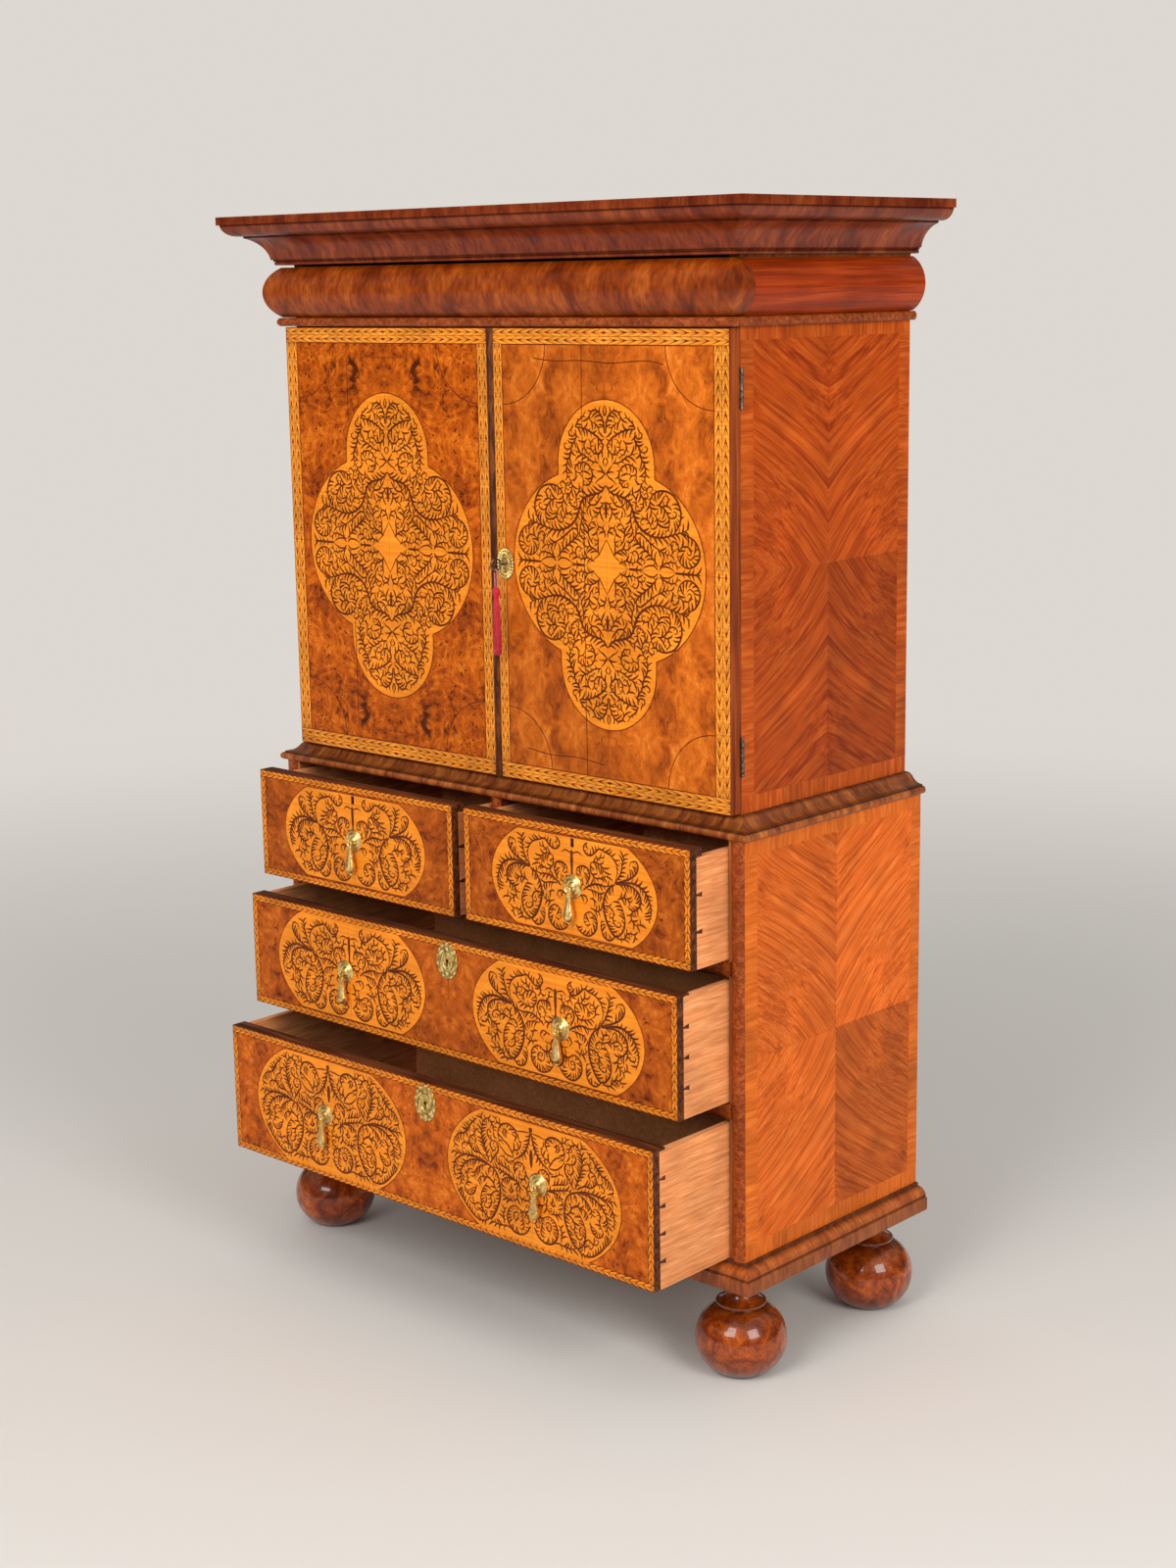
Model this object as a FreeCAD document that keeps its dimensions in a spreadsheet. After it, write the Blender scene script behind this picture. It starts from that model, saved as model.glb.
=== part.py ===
import FreeCAD, Part
import os
import types

import Sketcher

# Driving dimensions in millimetres, one cell of the sheet for each
SIZES = {
    # chest carcase
    "chest_width": 1050,
    "chest_depth": 458,
    "chest_side_board": 31,
    "chest_top_board": 14,
    "chest_bottom_board": 22,
    "back_board": 12,
    "back_board_gap": 0.6,
    "rail_height": 29.5,
    "rail_depth": 60,
    "base_rail_depth": 22,
    "dustboard": 10,
    "divider": 23,
    "bead_width": 26,
    "bead_rise": 6,
    "divider_bead_width": 21,
    # bun feet
    "foot_height": 157,
    "foot_x": 485,
    "foot_front_inset": 37.5,
    "foot_back_inset": 77.5,
    "foot_ball_height": 112,
    "foot_ball_swell": 62,
    "foot_flat_radius": 36,
    "foot_crown_radius": 40,
    "foot_groove": 3,
    "foot_rim_height": 4,
    "foot_cove_height": 24,
    "foot_cove_hollow": 26,
    "foot_neck_radius": 22,
    "foot_spigot_radius": 8,
    "foot_spigot_length": 18,
    "foot_block": 88,
    # base and waist mouldings
    "base_height": 45,
    "base_reach": 24,
    "base_edge": 3,
    "base_fascia": 23,
    "base_step": 3,
    "base_lip": 5,
    "bottom_lip": 1,
    "waist_height": 32,
    "waist_reach": 42,
    "waist_torus_height": 12,
    "waist_torus_rise": 4,
    "waist_fillet": 2.5,
    "waist_hollow_out": 17,
    "waist_hollow_up": 24,
    "waist_hollow_radius": 22,
    "waist_crown_out": 4,
    "waist_crown_radius": 15,
    # drawers
    "drawer_gap": 1,
    "run_gap": 0.5,
    "front_thickness": 27,
    "dovetail_length": 13,
    "pin_narrow": 3,
    "pin_wide": 8,
    "drawer_side": 12,
    "drawer_back": 12,
    "drawer_bottom": 8,
    "bottom_rise": 6,
    "groove_depth": 5,
    "drawer_stop": 6,
    "long_side_drop": 4,
    "short_side_drop": 14,
    "long_lower_height": 225.5,
    "long_upper_height": 197.5,
    "short_height": 187.5,
    "long_lower_open": 179.5,
    "long_upper_open": 121.5,
    "short_left_open": 91.5,
    "short_right_open": 89,
    # drawer brasses
    "long_handle_x": 252,
    "rose_radius": 19.5,
    "rose_rim": 1.4,
    "rose_ring_radius": 17,
    "rose_ring_rise": 3,
    "rose_groove_radius": 14.4,
    "rose_groove_rise": 1.2,
    "rose_dome_radius": 10.6,
    "rose_dome_rise": 3.6,
    "rose_dish_radius": 7.6,
    "rose_dish_rise": 2.4,
    "rose_boss_radius": 4.2,
    "rose_boss_rise": 5,
    "staple_stem": 1.5,
    "staple_eye": 2.6,
    "staple_wire": 0.9,
    "brass_gap": 0.1,
    "drop_stand": 10.3,
    "drop_ring": 3.6,
    "drop_ring_wire": 1.1,
    "drop_collar_radius": 5.6,
    "drop_collar_band": 2.4,
    "drop_waist_radius": 3.8,
    "drop_waist": 3.2,
    "drop_shoulder_radius": 4.6,
    "drop_shoulder": 4.6,
    "drop_cap_radius": 2.8,
    "drop_collar_height": 6,
    "drop_neck_radius": 4,
    "drop_length": 42,
    "drop_radius": 9.2,
    "drop_belly": 12.5,
    "drop_finial": 2.4,
    "escutcheon_width": 48,
    "escutcheon_height": 62,
    "escutcheon_end": 20,
    "escutcheon_plate": 2,
    "escutcheon_drop": 34,
    "short_key_drop": 20,
    "lock_width": 60,
    "lock_below_key": 22,
    "lock_above_key": 14,
    "lock_depth": 10,
    "keyhole_radius": 3.2,
    "keyhole_slot": 3.4,
    "keyhole_drop": 10.5,
    # cabinet carcase
    "cabinet_step": 32,
    "cabinet_side_board": 20,
    "cabinet_bottom_board": 18,
    "frieze_board": 18,
    "cabinet_top_board": 18,
    "cornice_top_board": 12,
    "shelf": 16,
    "shelf_setback": 12,
    "shelf_housing": 6,
    # doors, hinges and lock
    "door_gap": 2,
    "door_height": 725.5,
    "door_thickness": 23.5,
    "door_meeting_x": -6,
    "door_meeting_gap": 1.2,
    "astragal_width": 12,
    "astragal_rise": 5,
    "hinge_height": 60,
    "hinge_inset": 57,
    "hinge_leaf": 1.6,
    "hinge_leaf_width": 14,
    "hinge_knuckle": 2.6,
    "hinge_pin": 1.2,
    "hinge_pin_gap": 0.05,
    "hinge_joint_gap": 0.8,
    "knuckle_gap": 0.3,
    "door_key_x": 27,
    "door_key_rise": 352,
    "door_escutcheon_width": 36,
    "door_escutcheon_height": 50,
    "door_escutcheon_end": 15,
    "door_lock_width": 62,
    "door_lock_below_key": 24,
    "door_lock_above_key": 30,
    "door_lock_depth": 14,
    "lock_cavity_radius": 10.5,
    "lock_cavity_depth": 8,
    "bolt_height": 10,
    "bolt_thickness": 6,
    "bolt_length": 40,
    "bolt_rise": 12,
    "bolt_throw": 10,
    "bolt_gap": 0.4,
    "key_shaft": 2.2,
    "key_bow": 10.5,
    "key_bow_wire": 1.6,
    "key_bow_stand": 24,
    "key_bit_drop": 9,
    "key_bit_length": 5,
    "key_bit_thickness": 2,
    "tassel_cord_wire": 0.8,
    "tassel_cord_gap": 0.3,
    "tassel_cord_drop": 25,
    "tassel_head_radius": 6.5,
    "tassel_head_top": 4,
    "tassel_head_height": 14,
    "tassel_tie_radius": 4.5,
    "tassel_tie_height": 4,
    "tassel_skirt_radius": 8,
    "tassel_skirt_shoulder": 6,
    "tassel_skirt_length": 93,
    # frieze and cornice
    "frieze_gap": 0.8,
    "frieze_height": 83.7,
    "frieze_forward": 20,
    "cushion_base": 5,
    "cushion_rise": 24,
    "frieze_joint_gap": 0.5,
    "frieze_bead_height": 14,
    "frieze_bead_reach": 13,
    "frieze_bead_rise": 4,
    "cornice_gap": 4,
    "cornice_height": 81.5,
    "cornice_reach": 84.5,
    "cornice_forward": 15,
    "cornice_base": 14,
    "cornice_bead_height": 6,
    "cornice_bead_swell": 3.4,
    "cornice_fillet": 3,
    "cavetto_start_out": 20,
    "cavetto_end_out": 52,
    "cavetto_end_up": 46,
    "cavetto_radius": 46,
    "ovolo_start_out": 60,
    "ovolo_end_out": 80,
    "ovolo_end_up": 66,
    "ovolo_radius": 22,
    "cornice_fascia": 13.5,
}

BACK_BOARD_COUNT = 4
SHELF_COUNT = 2
LONG_LOWER_TAILS = 5
LONG_UPPER_TAILS = 4
SHORT_TAILS = 3
FRIEZE_TAILS = 2
HALF_TURN = 180
FULL_TURN = 360

doc = FreeCAD.newDocument("cabinet_on_chest")
sheet = doc.addObject("Spreadsheet::Sheet", "Sizes")
for row, (alias, number) in enumerate(SIZES.items(), start=1):
    sheet.set(f"A{row}", alias)
    sheet.set(f"B{row}", str(number))
    sheet.setAlias(f"B{row}", alias)
doc.recompute()


class Size:
    """A length that knows its value in millimetres and its formula in cells of the sheet."""

    def __init__(self, value, formula):
        self.value = value
        self.formula = formula

    def __add__(self, other):
        other = as_size(other)
        return Size(self.value + other.value, f"({self.formula} + {other.formula})")

    def __sub__(self, other):
        other = as_size(other)
        return Size(self.value - other.value, f"({self.formula} - {other.formula})")

    def __mul__(self, other):
        other = as_size(other)
        return Size(self.value * other.value, f"({self.formula} * {other.formula})")

    def __truediv__(self, other):
        other = as_size(other)
        return Size(self.value / other.value, f"({self.formula} / {other.formula})")

    def __neg__(self):
        return Size(-self.value, f"(0 - {self.formula})")


def as_size(value):
    """Numbers such as zero or a count become sizes too."""
    if isinstance(value, Size):
        return value
    return Size(float(value), f"{value:g}" if value >= 0 else f"(0 - {-value:g})")


s = types.SimpleNamespace(**{alias: Size(number, "Sizes." + alias) for alias, number in SIZES.items()})
nodes = []


def keep(label, shape_object):
    """Name a finished sub-part and list it for writing."""
    shape_object.Label = label
    nodes.append(shape_object)
    return shape_object


def place(shape_object, x, y, z, rotation=None):
    """Put an object at a point that follows the sheet."""
    if rotation is not None:
        shape_object.Placement = FreeCAD.Placement(FreeCAD.Vector(), rotation)
    for axis, value in zip("xyz", (x, y, z)):
        shape_object.setExpression("Placement.Base." + axis, as_size(value).formula)
    return shape_object


def board(name, across, deep, high):
    """A squared board between two planes in x, in y and in z."""
    box = doc.addObject("Part::Box", name)
    spans = [(as_size(low), as_size(top)) for low, top in (across, deep, high)]
    for side, (low, top) in zip(("Length", "Width", "Height"), spans):
        box.setExpression(side, (top - low).formula)
    return place(box, *[low for low, top in spans])


TO_FRONT = FreeCAD.Rotation(FreeCAD.Vector(1, 0, 0), 90)
TO_BACK = FreeCAD.Rotation(FreeCAD.Vector(1, 0, 0), -90)
TO_SIDE = FreeCAD.Rotation(FreeCAD.Vector(0, 1, 0), 90)


def rod(name, radius, length, x, y, z, rotation=None):
    """A round rod from a point, upright unless it is turned."""
    cylinder = doc.addObject("Part::Cylinder", name)
    cylinder.setExpression("Radius", as_size(radius).formula)
    cylinder.setExpression("Height", as_size(length).formula)
    return place(cylinder, x, y, z, rotation)


def ring(name, radius, wire, x, y, z, rotation, turn=FULL_TURN):
    """A ring of round wire about a point, or the part of it that the turn gives."""
    torus = doc.addObject("Part::Torus", name)
    torus.setExpression("Radius1", radius.formula)
    torus.setExpression("Radius2", wire.formula)
    torus.Angle3 = turn
    return place(torus, x, y, z, rotation)


def cut(name, base, *tools):
    """Take every tool out of the base, one after the other."""
    for index, tool in enumerate(tools):
        step = doc.addObject("Part::Cut", f"{name}_{index}")
        step.Base = base
        step.Tool = tool
        base = step
    return base


def fuse(name, *pieces):
    """One solid out of several that meet."""
    joined = doc.addObject("Part::MultiFuse", name)
    joined.Shapes = list(pieces)
    joined.Refine = True
    return joined


def group(name, *pieces):
    """Separate solids that share one name."""
    compound = doc.addObject("Part::Compound", name)
    compound.Links = list(pieces)
    return compound


def close_outline(sketch, points):
    """Draw a closed outline and tie each corner to the sheet.

    A point is (across, up), or (across, up, radius) where the stretch that ends there is an arc.
    On an outline that runs anticlockwise a positive radius swells and a negative one is a hollow.
    """
    corners = [(as_size(point[0]), as_size(point[1])) for point in points]
    radii = [as_size(point[2]) if len(point) == 3 else None for point in points]
    stretches = []
    for index, radius in enumerate(radii):
        start = FreeCAD.Vector(*[value.value for value in corners[index - 1]])
        end = FreeCAD.Vector(*[value.value for value in corners[index]])
        if radius is None:
            edge = sketch.addGeometry(Part.LineSegment(start, end))
            stretches.append((edge, 1, 2))
            continue
        half = (end - start) / 2
        left = FreeCAD.Vector(-half.y, half.x).normalize()
        swell = 1 if radius.value > 0 else -1
        depth = max(radius.value ** 2 - half.Length ** 2, 0) ** 0.5
        centre = start + half + left * (swell * depth)
        circle = Part.Circle(centre, FreeCAD.Vector(0, 0, 1), abs(radius.value))
        first, last = (start, end) if swell > 0 else (end, start)
        edge = sketch.addGeometry(Part.ArcOfCircle(circle, circle.parameter(first), circle.parameter(last)))
        rule = sketch.addConstraint(Sketcher.Constraint("Radius", edge, abs(radius.value)))
        sketch.setExpression(f"Constraints[{rule}]", (radius if swell > 0 else -radius).formula)
        stretches.append((edge, 1, 2) if swell > 0 else (edge, 2, 1))
    for index, (edge, first, last) in enumerate(stretches):
        following, begin, finish = stretches[(index + 1) % len(stretches)]
        sketch.addConstraint(Sketcher.Constraint("Coincident", edge, last, following, begin))
        for kind, value in zip(("DistanceX", "DistanceY"), corners[index]):
            rule = sketch.addConstraint(Sketcher.Constraint(kind, -1, 1, edge, last, value.value))
            sketch.setExpression(f"Constraints[{rule}]", value.formula)


def new_sketch(body, role, points):
    """A closed sketch on one of the body's own planes."""
    sketch = body.newObject("Sketcher::SketchObject", body.Name + "_outline")
    plane = [feature for feature in body.Origin.OriginFeatures if feature.Role == role][0]
    sketch.AttachmentSupport = [(plane, "")]
    sketch.MapMode = "FlatFace"
    close_outline(sketch, points)
    return sketch


def extruded(name, role, points, length, x, y, z):
    """An outline carried along +Z, +Y or +X from the XY, XZ or YZ plane."""
    body = doc.addObject("PartDesign::Body", name)
    pad = body.newObject("PartDesign::Pad", name + "_pad")
    pad.Profile = new_sketch(body, role, points)
    pad.setExpression("Length", as_size(length).formula)
    pad.Reversed = role == "XZ_Plane"
    body.Tip = pad
    return place(body, x, y, z)


def turned(name, points, x, y, z, rotation=None):
    """A piece turned about its own upright axis from an outline of (radius, height)."""
    body = doc.addObject("PartDesign::Body", name)
    sketch = new_sketch(body, "XZ_Plane", points)
    turning = body.newObject("PartDesign::Revolution", name + "_turning")
    turning.Profile = sketch
    turning.ReferenceAxis = (sketch, ["V_Axis"])
    turning.Angle = FULL_TURN
    body.Tip = turning
    return place(body, x, y, z, rotation)


def arc_radius(chord, rise):
    """Radius of the arc that rises that much over a chord."""
    return (chord * chord / 4 + rise * rise) / (rise * 2)


def mirrored(points):
    """The same outline on the other side of the upright axis."""
    return [(-as_size(across), up, *[-as_size(radius) for radius in arc]) for across, up, *arc in points]


def oval(width, height, end_radius):
    """An upright oval of four arcs that run smoothly into each other."""
    half, tall = width / 2, height / 2
    rise = tall - end_radius
    flank = (half * half + rise * rise - end_radius * end_radius) / ((half - end_radius) * 2)
    inset = flank - half
    join_x = flank * inset / (flank - end_radius) - inset
    join_z = flank * rise / (flank - end_radius)
    return [(join_x, -join_z, end_radius), (join_x, join_z, flank),
            (-join_x, join_z, end_radius), (-join_x, -join_z, flank)]


# Planes that everything is set out from. The origin is on the floor, in the middle of the part's
# own length and width with the drawers standing open, and the front faces -Y.
chest_half = s.chest_width / 2
chest_in = chest_half - s.chest_side_board
handle_reach = s.drop_stand + s.drop_radius
chest_y = (s.long_lower_open + handle_reach - s.chest_depth) / 2
back_y = chest_y + s.chest_depth
inside_back_y = back_y - s.back_board
cabinet_half = chest_half - s.cabinet_step
cabinet_in = cabinet_half - s.cabinet_side_board
cabinet_y = chest_y + s.cabinet_step
door_back_y = cabinet_y - s.hinge_joint_gap
door_y = door_back_y - s.door_thickness
bottom_top_z = s.foot_height + s.base_height + s.bottom_lip
long_lower_z = bottom_top_z + s.run_gap
lower_rail_z = long_lower_z + s.long_lower_height + s.drawer_gap
long_upper_z = lower_rail_z + s.rail_height + s.run_gap
upper_rail_z = long_upper_z + s.long_upper_height + s.drawer_gap
short_z = upper_rail_z + s.rail_height + s.run_gap
waist_z = short_z + s.short_height + s.drawer_gap
cabinet_z = waist_z + s.chest_top_board
door_z = waist_z + s.waist_height + s.door_gap
frieze_bead_z = door_z + s.door_height + s.door_gap
frieze_floor_z = frieze_bead_z + s.frieze_bead_height
frieze_z = frieze_floor_z + s.frieze_gap
cornice_z = frieze_z + s.frieze_height + s.cornice_gap
top_z = cornice_z + s.cornice_height
key_z = door_z + s.door_key_rise


def upright_boards(name, half, low_z, high_z):
    """Back boards side by side between the two sides, a hair apart so that they can swell."""
    pitch = (half * 2 + s.back_board_gap) / BACK_BOARD_COUNT
    width = pitch - s.back_board_gap
    boards = []
    for index in range(BACK_BOARD_COUNT):
        left = pitch * index - half
        boards.append(board(f"{name}_{index}", (left, left + width), (inside_back_y, back_y),
                            (low_z, high_z)))
    return keep(name, group(name + "_group", *boards))


def mitred_moulding(label, profile, half, front_y, low_z, height, reach, forward=None):
    """A moulding round the front and both sides, in three lengths mitred at the front corners.

    profile(inner) lists (out, up) points from a plane that stands inner behind the moulding's own
    reference plane. forward is how far the front length stands ahead of what it is fixed to.
    """
    depth = back_y - front_y
    outer = half + reach
    front_plan = [(-outer, -reach), (outer, -reach), (half, 0)]
    if forward is not None:
        front_plan += [(half, forward), (-half, forward)]
    front_plan.append((-half, 0))
    front_run = extruded(label + "_front_run", "YZ_Plane", mirrored(profile(forward or 0)), outer * 2,
                         -outer, front_y, low_z)
    front_mitres = extruded(label + "_front_mitres", "XY_Plane", front_plan, height, 0, front_y, low_z)
    pieces = [(front_run, front_mitres)]
    side_plan = [(half, 0), (outer, -reach), (outer, depth), (half, depth)]
    for side, turn in (("right", list), ("left", mirrored)):
        shift = half if side == "right" else -half
        run = extruded(f"{label}_{side}_run", "XZ_Plane", turn(profile(0)), depth + reach,
                       shift, front_y - reach, low_z)
        mitre = extruded(f"{label}_{side}_mitre", "XY_Plane", turn(side_plan), height, 0, front_y, low_z)
        pieces.append((run, mitre))
    lengths = []
    for run, mitre in pieces:
        length = doc.addObject("Part::Common", run.Name + "_mitred")
        length.Base = run
        length.Tool = mitre
        lengths.append(length)
    return keep(label, group(label + "_lengths", *lengths))


# Bun feet: a flattened ball, a rim, a cove up to the neck and a spigot into the foot block
def bun_feet():
    rim_z = s.foot_ball_height + s.foot_groove
    cove_z = rim_z + s.foot_rim_height
    neck_z = cove_z + s.foot_cove_height
    groove_radius = s.foot_crown_radius - s.foot_groove
    outline = [
        (0, 0),
        (s.foot_flat_radius, 0),
        (s.foot_crown_radius, s.foot_ball_height, s.foot_ball_swell),
        (groove_radius, s.foot_ball_height),
        (groove_radius, rim_z),
        (s.foot_crown_radius, rim_z),
        (s.foot_crown_radius, cove_z),
        (groove_radius, cove_z),
        (s.foot_neck_radius, neck_z, -s.foot_cove_hollow),
        (s.foot_neck_radius, s.foot_height),
        (s.foot_spigot_radius, s.foot_height),
        (s.foot_spigot_radius, s.foot_height + s.foot_spigot_length),
        (0, s.foot_height + s.foot_spigot_length),
    ]
    feet = []
    for end, y in (("front", chest_y + s.foot_front_inset), ("back", back_y - s.foot_back_inset)):
        for side, x in (("left", -s.foot_x), ("right", s.foot_x)):
            feet.append(turned(f"foot_{end}_{side}", outline, x, y, 0))
    return keep("bun_feet", group("feet", *feet))


feet = bun_feet()


# Chest carcase: sides, bottom with foot blocks, rails, dustboards, divider, top and back boards
def chest_carcase():
    for side, low in (("left", -chest_half), ("right", chest_in)):
        across = (low, low + s.chest_side_board)
        plank = board(f"chest_plank_{side}", across, (chest_y, back_y), (s.foot_height, waist_z))
        keep(f"chest_side_{side}", plank)
    inside = (-chest_in, chest_in)
    bottom_z = bottom_top_z - s.chest_bottom_board
    block_y = chest_y + s.base_rail_depth
    blocks = []
    for end, y in (("front", block_y), ("back", inside_back_y - s.foot_block)):
        for side, x in (("left", -chest_in), ("right", chest_in - s.foot_block)):
            block = board(f"foot_block_{end}_{side}", (x, x + s.foot_block), (y, y + s.foot_block),
                          (s.foot_height, bottom_z))
            blocks.append(cut(f"bored_block_{end}_{side}", block, feet))
    bottom = board("bottom_board", inside, (chest_y, inside_back_y), (bottom_z, bottom_top_z))
    keep("chest_bottom", group("bottom_and_blocks", bottom, *blocks))
    rails = [board("base_rail", inside, (chest_y, block_y), (s.foot_height, bottom_z))]
    dustboards = []
    for name, rail_z in (("lower", lower_rail_z), ("upper", upper_rail_z)):
        rail_top = rail_z + s.rail_height
        rail_back = chest_y + s.rail_depth
        rails.append(board(name + "_rail", inside, (chest_y, rail_back), (rail_z, rail_top)))
        dustboards.append(board(name + "_dustboard", inside, (rail_back, inside_back_y),
                                (rail_top - s.dustboard, rail_top)))
    keep("drawer_rails", group("rails", *rails))
    keep("dustboards", group("dustboard_pair", *dustboards))
    keep("short_drawer_divider", board("divider_board", (-s.divider / 2, s.divider / 2),
                                       (chest_y, inside_back_y), (short_z - s.run_gap, waist_z)))
    keep("chest_top", board("chest_top_plank", (-chest_half, chest_half), (chest_y, back_y),
                            (waist_z, cabinet_z)))
    upright_boards("chest_back_boards", chest_in, s.foot_height, waist_z)


chest_carcase()


# Half-round beads on the front edges of the sides, the two rails and the divider
def chest_front_beads():
    low_z = s.foot_height + s.base_height
    inner_half = chest_half - s.bead_width
    beads = []
    for side, x in (("left", -chest_half), ("right", inner_half)):
        outline = [(0, 0), (s.bead_width, 0, arc_radius(s.bead_width, s.bead_rise))]
        beads.append(extruded(f"upright_bead_{side}", "XY_Plane", outline, waist_z - low_z,
                              x, chest_y, low_z))
    for name, rail_z in (("lower", lower_rail_z), ("upper", upper_rail_z)):
        bead_z = rail_z + (s.rail_height - s.bead_width) / 2
        outline = [(0, 0), (0, s.bead_width, -arc_radius(s.bead_width, s.bead_rise))]
        beads.append(extruded(f"{name}_rail_bead", "YZ_Plane", outline, inner_half * 2,
                              -inner_half, chest_y, bead_z))
    width = s.divider_bead_width
    foot_z = upper_rail_z + s.rail_height
    outline = [(0, 0), (width, 0, arc_radius(width, s.bead_rise))]
    beads.append(extruded("divider_bead", "XY_Plane", outline, waist_z - foot_z, -width / 2, chest_y, foot_z))
    keep("chest_front_beads", group("beads", *beads))


chest_front_beads()


# Base moulding: fascia with a rounded lower edge, fillet, ovolo and lip
def base_profile(inner):
    step_out = s.base_reach - s.base_step
    return [
        (-as_size(inner), 0),
        (s.base_reach - s.base_edge, 0),
        (s.base_reach, s.base_edge, s.base_edge),
        (s.base_reach, s.base_fascia),
        (step_out, s.base_fascia),
        (step_out, s.base_fascia + s.base_step),
        (s.base_lip, s.base_height - s.base_lip, step_out - s.base_lip),
        (s.base_lip, s.base_height),
        (-as_size(inner), s.base_height),
    ]


mitred_moulding("base_moulding", base_profile, chest_half, chest_y, s.foot_height,
                s.base_height, s.base_reach)


# Waist moulding: rebated over the chest top, with a torus edge, fillet, hollow and crown
def waist_profile(inner):
    torus_out = s.waist_reach - s.waist_torus_rise
    fillet_out = torus_out - s.waist_fillet
    fillet_z = s.waist_torus_height + s.waist_fillet
    return [
        (-as_size(inner), s.chest_top_board),
        (s.cabinet_step, s.chest_top_board),
        (s.cabinet_step, 0),
        (torus_out, 0),
        (torus_out, s.waist_torus_height, arc_radius(s.waist_torus_height, s.waist_torus_rise)),
        (fillet_out, s.waist_torus_height),
        (fillet_out, fillet_z),
        (s.waist_hollow_out, s.waist_hollow_up, -s.waist_hollow_radius),
        (s.waist_crown_out, s.waist_height, s.waist_crown_radius),
        (-as_size(inner), s.waist_height),
    ]


mitred_moulding("waist_moulding", waist_profile, cabinet_half, cabinet_y, waist_z,
                s.waist_height, s.waist_reach)


# A drawer box: sides with tails at both ends, a back with pins and a bottom in grooves
def drawer_side(name, x, y, z, length, height, tails):
    """One side, with tails that flare towards the front and back ends."""
    ends = [(0, s.dovetail_length), (length, -s.drawer_back)]
    outline = [(0, 0), (length, 0)]
    for end, (tip, root) in enumerate(reversed(ends)):
        pins = []
        for index in range(1, tails):
            middle = height * index / tails
            pins.append([
                (tip, middle - s.pin_narrow / 2),
                (as_size(tip) + root, middle - s.pin_wide / 2),
                (as_size(tip) + root, middle + s.pin_wide / 2),
                (tip, middle + s.pin_narrow / 2),
            ])
        if end == 0:
            for pin in pins:
                outline += pin
            outline += [(length, height), (0, height)]
        else:
            for pin in reversed(pins):
                outline += reversed(pin)
    return extruded(name, "YZ_Plane", outline, s.drawer_side, x, y, z)


def drawer(name, front, box, inner_y, low_z, side_height, inner_depth, tails, fittings):
    """Cut the front for its box and fittings, and keep front, box and bottom."""
    left, right = box
    side_y = inner_y - s.dovetail_length
    length = s.dovetail_length + inner_depth
    raw_sides = []
    for side, x in (("left", left), ("right", right - s.drawer_side)):
        raw_sides.append(drawer_side(f"{name}_{side}", x, side_y, low_z, length, side_height, tails))
    back_end = inner_y + inner_depth
    floor_z = low_z + s.bottom_rise
    floor_top = floor_z + s.drawer_bottom
    grooved = s.drawer_side - s.groove_depth
    bottom = board(f"{name}_bottom", (left + grooved, right - grooved), (inner_y - s.groove_depth, back_end),
                   (floor_z, floor_top))
    back = board(f"{name}_back", (left, right), (back_end - s.drawer_back, back_end),
                 (floor_top, low_z + side_height))
    back = cut(f"{name}_pinned_back", back, *raw_sides)
    sides = [cut(f"{name}_grooved_{index}", raw, bottom) for index, raw in enumerate(raw_sides)]
    keep(f"{name}_drawer_front", cut(f"{name}_cut_front", front, *raw_sides, bottom, *fittings))
    keep(f"{name}_drawer_box", group(f"{name}_box", *sides, back))
    keep(f"{name}_drawer_bottom", bottom)


# Drop handles: a domed rose, a staple through the front and a pear-shaped drop on the staple's eye
def rose(name, x, face_y, z):
    """A round plate with a raised ring, a dome inside it, a dished middle and a boss."""
    bore = s.staple_stem + s.brass_gap
    outline = [
        (bore, 0),
        (s.rose_radius, 0),
        (s.rose_radius, s.rose_rim),
        (s.rose_ring_radius, s.rose_ring_rise),
        (s.rose_groove_radius, s.rose_groove_rise),
        (s.rose_dome_radius, s.rose_dome_rise),
        (s.rose_dish_radius, s.rose_dish_rise),
        (s.rose_boss_radius, s.rose_boss_rise),
        (bore, s.rose_boss_rise),
    ]
    return turned(name, outline, x, face_y, z, TO_FRONT)


def staple(name, x, face_y, z):
    """An eye of wire on a stem that is clinched flush with the inside of the front."""
    eye = ring(name + "_eye", s.staple_eye, s.staple_wire, x, face_y - s.drop_stand, z, TO_SIDE)
    stem_y = face_y - s.drop_stand + s.staple_eye
    length = s.drop_stand - s.staple_eye + s.front_thickness
    stem = rod(name + "_stem", s.staple_stem, length, x, stem_y, z, TO_BACK)
    return fuse(name, eye, stem), stem


def drop(label, x, face_y, z):
    """A pear drop that hangs by its ring from the eye, with a turned collar above and a finial below."""
    y = face_y - s.drop_stand
    hanger = ring(label + "_ring", s.drop_ring, s.drop_ring_wire, x, y, z - s.drop_ring, TO_FRONT)
    collar_top = -(s.drop_ring * 2)
    collar_low = collar_top - s.drop_collar_height
    pear_low = collar_low - s.drop_length
    belly_z = pear_low + s.drop_belly
    outline = [
        (0, collar_top),
        (0, pear_low - s.drop_finial * 2),
        (s.drop_finial, pear_low - s.drop_finial, s.drop_finial),
        (s.drop_finial, pear_low),
        (s.drop_radius, belly_z, s.drop_belly),
        (s.drop_neck_radius, collar_low, -s.drop_length * 6),
        (s.drop_collar_radius, collar_low),
        (s.drop_collar_radius, collar_low + s.drop_collar_band),
        (s.drop_waist_radius, collar_low + s.drop_waist),
        (s.drop_shoulder_radius, collar_low + s.drop_shoulder),
        (s.drop_cap_radius, collar_top),
    ]
    pear = turned(label + "_pear", outline, x, y, z)
    keep(label, fuse(label + "_whole", pear, hanger))


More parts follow.
